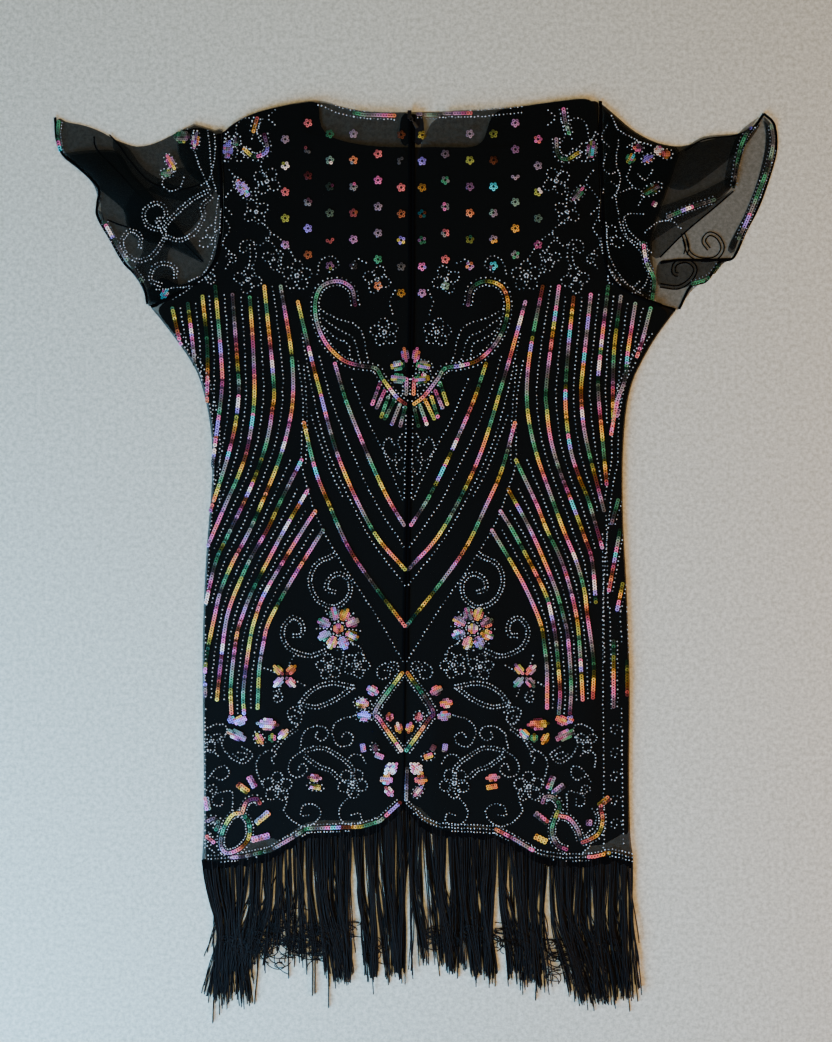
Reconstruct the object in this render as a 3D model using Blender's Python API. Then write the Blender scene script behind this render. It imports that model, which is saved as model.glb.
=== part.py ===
"""Beaded flapper dress, laid flat with its zipped back upwards.

Lengths in the tables and constants are millimetres; MM turns them into metres.
+Z is up, +Y runs from the hem to the neck, and the cloth rests on z = 0.
The layers, from the surface up, are the front net panel, the front lining, the
back lining, the back net panel and the sequin trims.
"""

import math
from collections import namedtuple

import bmesh
import bpy
from mathutils import Matrix, Vector

MM = 0.001
GAP = 0.3                    # between neighbouring pieces
CLOTH = 1.0                  # wall of one cloth layer with its beadwork
LIFT = CLOTH + GAP           # one layer up
FRONT_NET_Z = 0.0
FRONT_LINING_Z = FRONT_NET_Z + LIFT
BACK_LINING_Z = FRONT_LINING_Z + LIFT
BACK_NET_Z = BACK_LINING_Z + LIFT
TOP_Z = BACK_NET_Z + CLOTH
TRIM = 1.8                   # height of a row of sequins between two rows of beads
SIDE_SEAM = 3.0              # the seam lies this far in from the left fold
TAPE_WIDTH = 14.0            # one zip tape
HALF_COLUMNS = 11            # columns of the grid between a side and the zip tape
STRAP_COLUMN = 5             # the lining's strap ends here, counted from the side
NECK_TRIM_COLUMNS = (6, 5)   # where the neck trim starts on the left, ends on the right
TRIM_ROW = 1                 # lower edge of the neck trim
NECKLINE_ROW = 2             # upper edge of the lining between its straps
FRONT_STRAP_COLUMNS = 7      # of the front lining, counted from either edge of its grid
UNDERARM_ROW = 8
LINING_LIFT_ROWS = 3         # the lining ends this many rows above the hem

# The roll of the front panel round a side, as points of its wall
ROLL_BEND = 0.6              # how far the outer face rounds its corners
ROLL_INNER_BEND = 0.4
ROLL_INNER_RISE = 0.1
ROLL_COLUMNS = 4             # of the grid, on each side

# Outline of the laid dress, one row of the cloth grid each. `strip` is how much of the
# front panel is rolled over the right edge on to the back. `top` and `hem` say how
# strongly the row follows the shoulder line and the hem line.
Row = namedtuple("Row", "left_x left_y right_x right_y strip top hem")
ROWS = [
    Row(-217, 461, 203, 497, 3, 1.00, 0.0),
    Row(-216, 450, 203, 486, 3, 0.98, 0.0),
    Row(-215, 432, 203, 450, 3, 0.82, 0.0),
    Row(-214, 388, 205, 390, 3, 0.60, 0.0),
    Row(-215, 350, 206, 350, 3, 0.40, 0.0),
    Row(-223, 317, 209, 317, 3, 0.25, 0.0),
    Row(-238, 299, 217, 298, 3, 0.15, 0.0),
    Row(-264, 284, 240, 283, 3, 0.07, 0.0),
    Row(-293, 270, 286, 267, 3, 0.00, 0.0),
    Row(-280, 255, 275, 253, 3, 0.00, 0.0),
    Row(-266, 236, 260, 232, 3, 0.00, 0.0),
    Row(-251, 216, 248, 210, 3, 0.00, 0.0),
    Row(-239, 194, 238, 190, 3, 0.00, 0.0),
    Row(-232, 168, 232, 166, 3, 0.00, 0.0),
    Row(-226, 138, 229, 138, 3, 0.00, 0.0),
    Row(-224, 100, 227, 100, 3, 0.00, 0.0),
    Row(-226, 62, 227, 62, 9, 0.00, 0.0),
    Row(-230, 20, 228, 20, 15, 0.00, 0.0),
    Row(-233, -25, 231, -25, 21, 0.00, 0.0),
    Row(-235, -75, 233, -75, 24, 0.00, 0.0),
    Row(-236, -130, 235, -130, 26, 0.00, 0.1),
    Row(-235, -185, 235, -185, 27, 0.00, 0.25),
    Row(-234, -240, 234, -240, 27, 0.00, 0.5),
    Row(-234, -314, 235, -314, 28, 0.00, 0.95),
    Row(-236, -331, 238, -329, 30, 0.00, 1.0),
    Row(-236, -342, 239, -340, 31, 0.00, 1.0),
]

Edge = namedtuple("Edge", "x y")
SHOULDER_LINE = [
    Edge(-217, 461), Edge(-189, 481), Edge(-156, 490), Edge(-106, 500), Edge(-84, 490),
    Edge(-57, 485), Edge(-18, 484), Edge(-5, 486), Edge(70, 487), Edge(114, 491),
    Edge(158, 497), Edge(191, 501), Edge(203, 497),
]
HEM_LINE = [
    Edge(-236, -342), Edge(-191, -339), Edge(-160, -332), Edge(-136, -318),
    Edge(-120, -308), Edge(-60, -306), Edge(-40, -300), Edge(-14, -276), Edge(8, -299),
    Edge(24, -306), Edge(88, -309), Edge(105, -318), Edge(135, -336), Edge(160, -340),
    Edge(195, -339), Edge(216, -334), Edge(239, -340),
]
CENTRE_LINE = [Edge(-5, 490), Edge(-5, 278), Edge(-9, 58), Edge(-13, -162), Edge(-14, -280)]

# Soft folds of the upper layers: a ridge from one end to the other.
Fold = namedtuple("Fold", "x1 y1 x2 y2 width height")
FOLDS = [
    Fold(176, -20, 186, -325, 13, 3.2),
    Fold(132, -60, 150, -300, 16, 2.0),
    Fold(24, -120, 14, -290, 15, 2.6),
    Fold(-50, -110, -42, -280, 17, 2.4),
    Fold(-150, 30, -186, -280, 20, 2.2),
    Fold(-120, -150, -110, -290, 16, 1.8),
    Fold(70, 40, 92, -270, 20, 2.0),
    Fold(-170, 225, -196, 70, 18, 2.4),
    Fold(170, 225, 192, 70, 18, 2.4),
    Fold(-95, 300, -60, 120, 22, 1.8),
    Fold(95, 300, 62, 120, 22, 1.8),
    Fold(-150, 420, -165, 300, 18, 2.0),
    Fold(150, 430, 165, 300, 18, 2.0),
]

# Reach of the fringe: how far down its threads hang at each place.
FRINGE_TIPS = [
    Edge(-236, -484), Edge(-229, -499), Edge(-180, -499), Edge(-150, -488),
    Edge(-96, -490), Edge(-66, -476), Edge(-7, -466), Edge(26, -458), Edge(59, -466),
    Edge(125, -474), Edge(176, -490), Edge(214, -499), Edge(244, -492),
]
FRINGE_SIDES = [
    # drop below the hem, left edge, right edge
    (0, -236, 239), (55, -221, 236), (80, -221, 236), (115, -229, 240), (135, -230, 246),
]
FRINGE_THICKNESS = 2.3
FRINGE_STATIONS = (0.0, 0.35, 0.6, 0.85, 1.0)    # shares of the drop from hem to tips
FRONT_FRINGE_SHORTER = 6     # the threads of the front end this much higher
FRINGE_SIDE_GAP = 0.5

# Flutter sleeves. `top` is the folded upper edge from shoulder to tip, `upper_hem` and
# `under_hem` are the free edges of the layer on top and of the layer below it, and
# `trim_rows` is how many rows of its grid carry the trim of the upper hem, from the tip.
Sleeve = namedtuple("Sleeve", "side top upper_hem under_hem upper_end folds trim_rows")
SLEEVES = [
    Sleeve(
        "left",
        [(-217, 461), (-234, 471), (-248, 475), (-269, 465), (-286, 452), (-302, 448),
         (-318, 447), (-330, 457), (-347, 469), (-373, 478), (-398, 479)],
        [(-398, 479), (-398, 454), (-391, 436), (-370, 421), (-350, 401), (-352, 385),
         (-352, 369), (-338, 344), (-323, 318), (-310, 305), (-301, 292), (-296, 272)],
        [(-398, 479), (-396, 455), (-389, 438), (-368, 424), (-347, 402), (-349, 385),
         (-349, 371), (-335, 346), (-320, 320), (-308, 307), (-299, 293), (-295, 272)],
        (-293.5, 270.5),
        [Fold(-385, 440, -262, 372, 13, 5.5), Fold(-330, 445, -250, 400, 10, 4.0),
         Fold(-320, 330, -240, 345, 12, 4.0), Fold(-270, 440, -235, 330, 10, 3.0)],
        14,
    ),
    Sleeve(
        "right",
        [(203, 497), (221, 483), (240, 464), (256, 456), (275, 449), (297, 447),
         (310, 455), (332, 461), (360, 464), (372, 474), (383, 483)],
        [(383, 483), (363, 452), (354, 425), (350, 401), (330, 386), (302, 376),
         (276, 366), (262, 350), (258, 335), (260, 320), (264, 300), (261, 276)],
        [(383, 483), (393, 474), (398, 460), (396, 438), (387, 404), (377, 378),
         (364, 353), (350, 324), (335, 319), (320, 298), (303, 292), (290, 267)],
        (258, 276.5),
        [Fold(345, 440, 235, 420, 12, 4.5), Fold(320, 400, 232, 380, 11, 4.5),
         Fold(262, 365, 228, 330, 10, 3.0)],
        6,
    ),
]
SLEEVE_STATIONS = (0.0, 0.1, 0.22, 0.36, 0.5, 0.64, 0.77, 0.88, 0.96, 1.0)
SLEEVE_DROP_END = 0.3        # the layers have come together this far along the sleeve
UNDER_TRIM_ROWS = (2, 3)     # rows left plain at the underarm and at the tip
UNDERARM_EASE = 1.5          # between the end of a sleeve and the side of the dress
FOLD_TUCK = 0.12             # share of a cell that the inside of the top fold sits down

# Zip slider and its pull tab.
SLIDER_X = -7.5
SLIDER_Y = 481.5
SLIDER_WIDTH = 4.4
SLIDER_LENGTH = 9.0
SLIDER_HEIGHT = 2.0
BRIDGE_WIDTH = 0.8
BRIDGE_HEIGHT = 2.0
BRIDGE_LENGTH = 3.2
BRIDGE_WIRE = 0.6
PIN_FORWARD = 0.7            # from the bridge's lower post to the middle of the pin
PIN_HEIGHT = 0.65            # above the slider's body
EYE_HALF = 1.5               # half the width of the pull's eye
EYE_LENGTH = 4.0
PULL_WIRE = 0.7
PULL_LENGTH = 15.0
DROP_WIDTH = 3.4
DROP_LENGTH = 7.5
PULL_SWING = math.radians(36)    # in plan, from straight down the zip
PULL_DECLINE = math.radians(7)   # the tab's end rests on the cloth

Finish = namedtuple("Finish", "colour roughness metallic")
FINISHES = {
    "net": Finish((0.012, 0.013, 0.014), 0.75, 0.0),
    "lining": Finish((0.005, 0.006, 0.008), 0.85, 0.0),
    "trim": Finish((0.23, 0.13, 0.17), 0.3, 0.6),
    "tape": Finish((0.006, 0.006, 0.007), 0.8, 0.0),
    "metal": Finish((0.10, 0.10, 0.10), 0.35, 1.0),
    "fringe": Finish((0.006, 0.006, 0.008), 0.6, 0.0),
}


def mix(a, b, t):
    return a + (b - a) * t


def read_edge(edge, x):
    """Height of a polyline of Edge points at x."""
    if x <= edge[0].x:
        return edge[0].y
    for start, end in zip(edge, edge[1:]):
        if x <= end.x:
            return mix(start.y, end.y, (x - start.x) / (end.x - start.x))
    return edge[-1].y


def centre_x(y):
    """The zip line, which leans a little towards the left at the hem."""
    flipped = [Edge(-point.y, point.x) for point in CENTRE_LINE]
    return read_edge(flipped, -y)


def ridge(folds, x, y):
    """Height that the soft folds add to the upper layers at a point."""
    height = 0.0
    for fold in folds:
        along = Vector((fold.x2 - fold.x1, fold.y2 - fold.y1))
        reach = Vector((x - fold.x1, y - fold.y1))
        t = reach.dot(along) / along.length_squared
        if not 0.0 < t < 1.0:
            continue
        off = abs(reach.x * along.y - reach.y * along.x) / along.length
        height += fold.height * math.sin(math.pi * t) * math.exp(-(off / fold.width) ** 2)
    return height


def finish(name):
    """The material of one kind of piece, made once."""
    if name in bpy.data.materials:
        return bpy.data.materials[name]
    look = FINISHES[name]
    material = bpy.data.materials.new(name)
    material.use_nodes = True
    shader = material.node_tree.nodes["Principled BSDF"]
    shader.inputs["Base Color"].default_value = (*look.colour, 1.0)
    shader.inputs["Roughness"].default_value = look.roughness
    shader.inputs["Metallic"].default_value = look.metallic
    return material


def add_object(name, mesh, look):
    bmesh.ops.remove_doubles(mesh, verts=mesh.verts, dist=1e-6)
    bmesh.ops.triangulate(mesh, faces=mesh.faces)
    bmesh.ops.recalc_face_normals(mesh, faces=mesh.faces)
    data = bpy.data.meshes.new(name)
    mesh.to_mesh(data)
    mesh.free()
    data.materials.append(finish(look))
    piece = bpy.data.objects.new(name, data)
    bpy.context.scene.collection.objects.link(piece)
    return piece


def wall(name, inner, outer, look, used=None):
    """A closed cloth wall between two grids of points in millimetres.

    `used(row, column)` says which cells of the grid belong to the piece, and every
    free edge of those cells gets a rim that joins the two faces.
    """
    mesh = bmesh.new()
    rows = len(inner) - 1
    columns = len(inner[0]) - 1
    cells = {(i, j) for i in range(rows) for j in range(columns)
             if used is None or used(i, j)}
    corners = {(i + di, j + dj) for i, j in cells for di in (0, 1) for dj in (0, 1)}
    low = {key: mesh.verts.new(Vector(inner[key[0]][key[1]]) * MM) for key in sorted(corners)}
    high = {key: mesh.verts.new(Vector(outer[key[0]][key[1]]) * MM) for key in sorted(corners)}
    for i, j in sorted(cells):
        ring = ((i, j), (i, j + 1), (i + 1, j + 1), (i + 1, j))
        for side in (low, high):
            mesh.faces.new([side[key] for key in (ring[0], ring[1], ring[2])])
            mesh.faces.new([side[key] for key in (ring[0], ring[2], ring[3])])
        beyond = ((i - 1, j), (i, j + 1), (i + 1, j), (i, j - 1))
        for k, neighbour in enumerate(beyond):
            if neighbour in cells:
                continue
            a, b = ring[k], ring[(k + 1) % 4]
            mesh.faces.new((low[a], low[b], high[b], high[a]))
    return add_object(name, mesh, look)


def row_y(i, x, share):
    """Height of a grid row at a share of the way from the left edge to the right."""
    row, first, last = ROWS[i], ROWS[0], ROWS[-1]
    level = mix(row.left_y, row.right_y, share)
    top_x = mix(first.left_x, first.right_x, share)
    above = read_edge(SHOULDER_LINE, top_x) - mix(first.left_y, first.right_y, share)
    below = read_edge(HEM_LINE, x) - mix(last.left_y, last.right_y, share)
    return level + row.top * above + row.hem * below


def grid_point(i, x):
    row = ROWS[i]
    share = (x - row.left_x) / (row.right_x - row.left_x)
    return x, row_y(i, x, share)


def half_columns(i, side):
    """Column positions of one half of the back panel in row i, from left to right."""
    row = ROWS[i]
    centre = centre_x(mix(row.left_y, row.right_y, 0.5))
    if side == "left":
        outer = row.left_x + SIDE_SEAM + GAP
        inner = centre - TAPE_WIDTH
        run = [mix(outer, inner, k / HALF_COLUMNS) for k in range(HALF_COLUMNS + 1)]
        return run + [centre - GAP / 2]
    outer = row.right_x - row.strip - GAP
    inner = centre + TAPE_WIDTH
    run = [mix(inner, outer, k / HALF_COLUMNS) for k in range(HALF_COLUMNS + 1)]
    return [centre + GAP / 2] + run


def half_grid(side, z):
    """Points of one half of a back layer whose lower face is at z, folds included."""
    grid = []
    for i in range(len(ROWS)):
        points = [grid_point(i, x) for x in half_columns(i, side)]
        grid.append([(x, y, z + ridge(FOLDS, x, y)) for x, y in points])
    return grid


def raised(grid, rise):
    return [[(x, y, z + rise) for x, y, z in line] for line in grid]


def build_back_panels():
    """The two halves of the net back, either side of the zip."""
    for side in ("left", "right"):
        low = half_grid(side, BACK_NET_Z)
        wall("back_net_" + side, low, raised(low, CLOTH), "net")


def build_back_linings():
    """Lining halves, with shoulder straps and a lower neckline than the net."""
    for side in ("left", "right"):
        low = half_grid(side, BACK_LINING_Z)
        lowest = len(ROWS) - LINING_LIFT_ROWS
        strap = range(STRAP_COLUMN)
        if side == "right":
            strap = range(HALF_COLUMNS - STRAP_COLUMN + 1, HALF_COLUMNS + 1)

        def used(i, j):
            return i < lowest and (i >= NECKLINE_ROW or j in strap)

        wall("back_lining_" + side, low, raised(low, CLOTH), "lining", used)


def build_zip_tapes():
    """The tapes that show through the net between the neck edge and the lining."""
    for side in ("left", "right"):
        low = half_grid(side, BACK_LINING_Z)
        columns = (-2, -1) if side == "left" else (0, 1)
        band = [[line[j] for j in columns] for line in low[:NECKLINE_ROW + 1]]
        band[-1] = [(x, y + GAP, z) for x, y, z in band[-1]]
        wall("zip_tape_" + side, band, raised(band, CLOTH), "tape")


def build_panel_trims():
    """Sequin bands on the neck edge and the hem of the back panel."""
    for side, end in zip(("left", "right"), NECK_TRIM_COLUMNS):
        low = raised(half_grid(side, BACK_NET_Z), CLOTH + GAP)
        high = raised(low, TRIM)

        def on_neck(i, j):
            reach = j in range(end, HALF_COLUMNS)
            if side == "right":
                reach = j in range(1, end + 1)
            return i < TRIM_ROW and reach

        def on_hem(i, j):
            return i == len(ROWS) - 2

        wall("neck_trim_" + side, low, high, "trim", on_neck)
        wall("hem_trim_" + side, low, high, "trim", on_hem)


def plate_columns(i):
    """Columns of a flat under layer: every second one of the panels above it."""
    left = half_columns(i, "left")
    right = half_columns(i, "right")
    return left[2:-1:2] + [centre_x(mix(ROWS[i].left_y, ROWS[i].right_y, 0.5))] + right[1:-2:2]


def rolled_grid(z, inset, wraps_left):
    """Inner and outer points of a front layer whose sides roll up on to the back.

    The layer lies flat at z, turns up `inset` inside the outline and comes back over
    the top, where it ends at the side seam. The roll starts below the underarm.
    """
    top = TOP_Z - (z - FRONT_NET_Z)
    # of each bend point: outer face inwards and up, inner face inwards and up
    turn = [
        (ROLL_BEND, 0, ROLL_INNER_BEND, 0), (0, ROLL_BEND, 0, ROLL_INNER_RISE),
        (0, -ROLL_BEND, 0, -ROLL_INNER_RISE), (ROLL_BEND, 0, ROLL_INNER_BEND, 0),
    ]
    low_z = (z, z, top, top)
    inner, outer = [], []
    for i in range(len(ROWS)):
        row = ROWS[i]
        left, right = row.left_x + inset, row.right_x - inset
        seam_left, seam_right = row.left_x + SIDE_SEAM, row.right_x - row.strip
        inner_line = [(seam_left, top - CLOTH)]
        outer_line = [(seam_left, top)]
        for k in (3, 2, 1, 0):
            out_in, out_up, in_in, in_up = turn[k]
            lift = CLOTH if k < 2 else -CLOTH
            inner_line.append((left + CLOTH + in_in, low_z[k] + lift + in_up))
            outer_line.append((left + out_in, low_z[k] + out_up))
        for x in plate_columns(i):
            inner_line.append((x, z + CLOTH))
            outer_line.append((x, z))
        for k in (0, 1, 2, 3):
            out_in, out_up, in_in, in_up = turn[k]
            lift = CLOTH if k < 2 else -CLOTH
            inner_line.append((right - CLOTH - in_in, low_z[k] + lift + in_up))
            outer_line.append((right - out_in, low_z[k] + out_up))
        inner_line.append((seam_right, top - CLOTH))
        outer_line.append((seam_right, top))
        inner.append([(*grid_point(i, x), height) for x, height in inner_line])
        outer.append([(*grid_point(i, x), height) for x, height in outer_line])

    def used(i, j):
        columns = len(inner[0]) - 1
        if j < ROLL_COLUMNS:
            return wraps_left and i >= UNDERARM_ROW
        if j >= columns - ROLL_COLUMNS:
            return i >= UNDERARM_ROW
        return True

    return inner, outer, used


def build_front_layers():
    """The net front and its lining, flat on the surface and rolled round the sides."""
    inner, outer, used = rolled_grid(FRONT_NET_Z, 0.0, True)
    wall("front_net", inner, outer, "net", used)

    last = len(ROWS) - 1
    trim_low = [[(x, y, z + GAP) for x, y, z in line[-2:]] for line in outer[last - 1:]]
    wall("hem_trim_front", trim_low, raised(trim_low, TRIM), "trim")

    inner, outer, used = rolled_grid(FRONT_LINING_Z, CLOTH + GAP, False)
    lowest = len(ROWS) - LINING_LIFT_ROWS
    columns = len(inner[0]) - 1

    def lined(i, j):
        strapless = FRONT_STRAP_COLUMNS <= j < columns - FRONT_STRAP_COLUMNS
        neck = i < NECKLINE_ROW and strapless
        return used(i, j) and i < lowest and not neck

    wall("front_lining", inner, outer, "lining", lined)


def fringe_side(drop, which):
    """Left or right edge of the fringe at a drop below the hem."""
    column = 1 if which == "left" else 2
    table = [Edge(line[0], line[column]) for line in FRINGE_SIDES]
    return read_edge(table, drop)


def build_fringes():
    """The reach of the hanging threads under the back hem and under the front hem."""
    last = len(ROWS) - 1
    row = ROWS[last]
    back_columns = half_columns(last, "left")[:-1] + half_columns(last, "right")
    layers = (
        ("fringe_front", FRONT_NET_Z, plate_columns(last), FRONT_FRINGE_SHORTER),
        ("fringe_back", FRINGE_THICKNESS + GAP, back_columns, 0),
    )
    for name, z, columns, shorter in layers:
        xs = [row.left_x, *columns, row.right_x - FRINGE_SIDE_GAP]
        grid = []
        for share in FRINGE_STATIONS:
            line = []
            for x in xs:
                hem = read_edge(HEM_LINE, x) - 2 * GAP
                across = (x - row.left_x) / (row.right_x - row.left_x)
                tip = read_edge(FRINGE_TIPS, x) + shorter
                drop = (hem - tip) * share
                left = fringe_side(drop, "left")
                right = fringe_side(drop, "right")
                line.append((mix(left, right, across), hem - drop, z))
            grid.append(line)
        wall(name, grid, raised(grid, FRINGE_THICKNESS), "fringe")


def along_path(points, share):
    """The point a share of the length along a polyline."""
    vectors = [Vector(point) for point in points]
    lengths = [(b - a).length for a, b in zip(vectors, vectors[1:])]
    left = share * sum(lengths)
    for start, end, length in zip(vectors, vectors[1:], lengths):
        if left <= length:
            return start.lerp(end, left / length)
        left -= length
    return vectors[-1]


def armhole(side, layer_end):
    """The armhole edge, one gap outside the panels, from the shoulder to the underarm."""
    rows = ROWS[:UNDERARM_ROW + 1]
    sign = -1 if side == "left" else 1
    points = [Vector((r.left_x, r.left_y) if side == "left" else (r.right_x, r.right_y))
              for r in rows]
    moved = []
    for k, point in enumerate(points):
        before, after = points[max(k - 1, 0)], points[min(k + 1, len(points) - 1)]
        run = (after - before).normalized()
        moved.append(point + Vector((-run.y, run.x)) * -sign * -2 * GAP)
    moved[-1] = Vector(layer_end)
    halved = [moved[0]]
    for before, after in zip(moved, moved[1:]):
        halved += [before.lerp(after, 0.5), after]
    return halved


def sleeve_layer(sleeve, hem, end):
    """Points of one sleeve layer: rows from the top fold down, stations outwards."""
    hole = armhole(sleeve.side, end)
    rows = len(hole)
    grid = []
    for i in range(rows):
        down = i / (rows - 1)
        line = []
        for a in SLEEVE_STATIONS:
            top = along_path(sleeve.top, a)
            foot = Vector(end).lerp(Vector(hem[-1]), a)
            edge = along_path(hem, down)
            corners = (
                (1 - a) * (1 - down) * hole[0] + a * (1 - down) * Vector(sleeve.top[-1])
                + (1 - a) * down * Vector(end) + a * down * Vector(hem[-1]))
            line.append((1 - down) * top + down * foot + (1 - a) * hole[i] + a * edge - corners)
        grid.append(line)
    return grid


def build_sleeves():
    """Each sleeve is one piece of net, folded along its upper edge."""
    for sleeve in SLEEVES:
        underarm = ROWS[UNDERARM_ROW]
        under_end = (underarm.right_x + UNDERARM_EASE, underarm.right_y)
        if sleeve.side == "left":
            under_end = (underarm.left_x - UNDERARM_EASE, underarm.left_y)
        under = sleeve_layer(sleeve, sleeve.under_hem, under_end)
        upper = sleeve_layer(sleeve, sleeve.upper_hem, sleeve.upper_end)
        inner, outer = [], []
        for line in reversed(under[1:]):
            outer.append([(p.x, p.y, FRONT_NET_Z) for p in line])
            inner.append([(p.x, p.y, FRONT_NET_Z + CLOTH) for p in line])
        fold = upper[0]
        heights = [upper_level(a) for a in SLEEVE_STATIONS]
        outer.append([(p.x, p.y, z / 2) for p, z in zip(fold, heights)])
        tucked = [p.lerp(q, FOLD_TUCK) for p, q in zip(fold, upper[1])]
        inner.append([(p.x, p.y, (z + CLOTH) / 2) for p, z in zip(tucked, heights)])
        for line in upper[1:]:
            level = [z + ridge(sleeve.folds, p.x, p.y) for p, z in zip(line, heights)]
            outer.append([(p.x, p.y, z + CLOTH) for p, z in zip(line, level)])
            inner.append([(p.x, p.y, z) for p, z in zip(line, level)])
        wall("sleeve_" + sleeve.side, inner, outer, "net")
        first = len(under)
        trimmed = outer[first:first + sleeve.trim_rows]
        trim = raised([line[-2:] for line in trimmed], GAP)
        wall("sleeve_trim_" + sleeve.side, trim, raised(trim, TRIM), "trim")
        if sleeve.side == "right":
            plain_below, plain_above = UNDER_TRIM_ROWS
            trimmed = inner[plain_below:first - plain_above]
            crescent = raised([line[-2:] for line in trimmed], GAP)
            wall("sleeve_trim_right_under", crescent, raised(crescent, TRIM / 2), "trim")


def upper_level(a):
    """Lower face of a sleeve's upper layer, which sinks to the under layer outwards."""
    fall = min(a / SLEEVE_DROP_END, 1.0)
    return mix(BACK_NET_Z, FRONT_NET_Z + LIFT, fall)


def cut_plate(name, xs, ys, cells, thickness, look):
    """A flat plate of the chosen cells of a grid, centred on z = 0."""
    low = [[(x, y, -thickness / 2) for x in xs] for y in ys]
    return wall(name, low, raised(low, thickness), look, lambda i, j: (i, j) in cells)


def build_slider(base_z):
    """The zip's slider: a flat body with a bridge that the pull's pin runs under."""
    half, long = SLIDER_WIDTH / 2, SLIDER_LENGTH / 2
    xs, ys = (-half, half), (-long, long)
    body = cut_plate("zip_slider", xs, ys, {(0, 0)}, SLIDER_HEIGHT, "metal")
    lift = base_z + SLIDER_HEIGHT / 2
    body.data.transform(Matrix.Translation(Vector((SLIDER_X, SLIDER_Y, lift)) * MM))

    foot = -BRIDGE_WIRE
    heights = (foot, BRIDGE_HEIGHT - BRIDGE_WIRE, BRIDGE_HEIGHT)
    runs = (0, BRIDGE_WIRE, BRIDGE_LENGTH - BRIDGE_WIRE, BRIDGE_LENGTH)
    arch = {(0, 0), (0, 2), (1, 0), (1, 1), (1, 2)}
    bridge = cut_plate("zip_bridge_cutter", runs, heights, arch, BRIDGE_WIDTH, "metal")
    upright = Matrix(((0, 0, 1, 0), (1, 0, 0, 0), (0, 1, 0, 0), (0, 0, 0, 1)))
    seat = Vector((SLIDER_X, SLIDER_Y - long + BRIDGE_WIRE, base_z + SLIDER_HEIGHT))
    bridge.data.transform(Matrix.Translation(seat * MM) @ upright)
    bridge.hide_render = True
    bridge.display_type = "WIRE"
    join = body.modifiers.new("bridge", "BOOLEAN")
    join.operation = "UNION"
    join.object = bridge


def build_pull(base_z):
    """The pull tab: an eye round the bridge, a stem and a drop-shaped end."""
    rim = EYE_HALF + PULL_WIRE
    wire = PULL_WIRE / 2
    stem = PULL_WIRE
    drop = DROP_WIDTH / 2
    xs = (-rim, -drop, -EYE_HALF, -stem, stem, EYE_HALF, drop, rim)
    ys = (wire, -wire, -EYE_LENGTH, -EYE_LENGTH - PULL_WIRE, DROP_LENGTH - PULL_LENGTH,
          -PULL_LENGTH)
    across = range(len(xs) - 1)
    eye = {(i, j) for i in (0, 2) for j in across} | {(1, j) for j in (0, 1, 5, 6)}
    tab = eye | {(3, 3)} | {(4, j) for j in (1, 2, 3, 4, 5)}
    pull = cut_plate("zip_pull", xs, ys, tab, PULL_WIRE, "metal")
    post = SLIDER_Y - SLIDER_LENGTH / 2 + BRIDGE_WIRE * 2
    pin = Vector((SLIDER_X, post + PIN_FORWARD, base_z + SLIDER_HEIGHT + PIN_HEIGHT))
    turn = Matrix.Rotation(PULL_SWING, 4, "Z") @ Matrix.Rotation(PULL_DECLINE, 4, "X")
    pull.data.transform(Matrix.Translation(pin * MM) @ turn)


def build_zip():
    build_slider(TOP_Z + GAP)
    build_pull(TOP_Z + GAP)


def centre_on_origin():
    """Move the whole dress so that the middle of its box is over the origin."""
    pieces = [o for o in bpy.data.objects if o.type == "MESH"]
    corners = [o.matrix_world @ v.co for o in pieces for v in o.data.vertices]
    shift = Vector((0.0, 0.0, 0.0))
    for axis in (0, 1):
        values = [corner[axis] for corner in corners]
        shift[axis] = -(min(values) + max(values)) / 2
    shift.z = -min(corner.z for corner in corners)
    for piece in pieces:
        piece.data.transform(Matrix.Translation(shift))


def main():
    for old in list(bpy.data.objects):
        bpy.data.objects.remove(old, do_unlink=True)
    build_front_layers()
    build_back_linings()
    build_zip_tapes()
    build_back_panels()
    build_panel_trims()
    build_fringes()
    build_sleeves()
    build_zip()
    centre_on_origin()


main()
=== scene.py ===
import math
from collections import namedtuple
import bpy
import bmesh
import numpy as np
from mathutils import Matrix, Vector
from mathutils.bvhtree import BVHTree
from mathutils.geometry import delaunay_2d_cdt


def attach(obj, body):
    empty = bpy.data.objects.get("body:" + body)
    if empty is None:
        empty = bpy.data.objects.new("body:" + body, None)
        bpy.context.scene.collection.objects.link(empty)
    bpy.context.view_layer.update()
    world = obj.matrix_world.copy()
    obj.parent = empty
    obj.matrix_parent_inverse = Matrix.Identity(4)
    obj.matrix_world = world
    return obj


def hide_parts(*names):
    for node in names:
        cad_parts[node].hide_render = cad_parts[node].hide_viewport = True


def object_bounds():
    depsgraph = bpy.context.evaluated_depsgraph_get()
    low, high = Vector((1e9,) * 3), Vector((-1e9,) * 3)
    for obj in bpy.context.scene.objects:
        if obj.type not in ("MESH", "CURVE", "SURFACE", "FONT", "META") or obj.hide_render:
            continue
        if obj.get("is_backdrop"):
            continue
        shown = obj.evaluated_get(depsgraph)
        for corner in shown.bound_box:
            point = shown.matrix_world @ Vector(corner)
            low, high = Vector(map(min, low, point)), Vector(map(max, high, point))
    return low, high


# Visual model of a beaded flapper dress that lies on a pale floor, built round the CAD frame.
# All lengths in the tables are millimetres in the row frame: x to the right, y to the neck,
# z up. Beadwork is given by its distance out from the zip line and mirrored to both sides.

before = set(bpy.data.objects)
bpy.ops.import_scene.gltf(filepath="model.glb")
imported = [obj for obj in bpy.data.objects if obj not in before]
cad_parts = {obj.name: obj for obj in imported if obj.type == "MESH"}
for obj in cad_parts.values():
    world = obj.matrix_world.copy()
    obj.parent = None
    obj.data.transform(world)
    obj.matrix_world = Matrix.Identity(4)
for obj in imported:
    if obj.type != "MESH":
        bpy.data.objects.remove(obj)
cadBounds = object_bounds()
mm = 0.001
curveSteps = 12  # fine points between two given points of a curve
tiny = 1e-9  # keeps a length of nothing from dividing
dice = np.random.default_rng(20)


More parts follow.
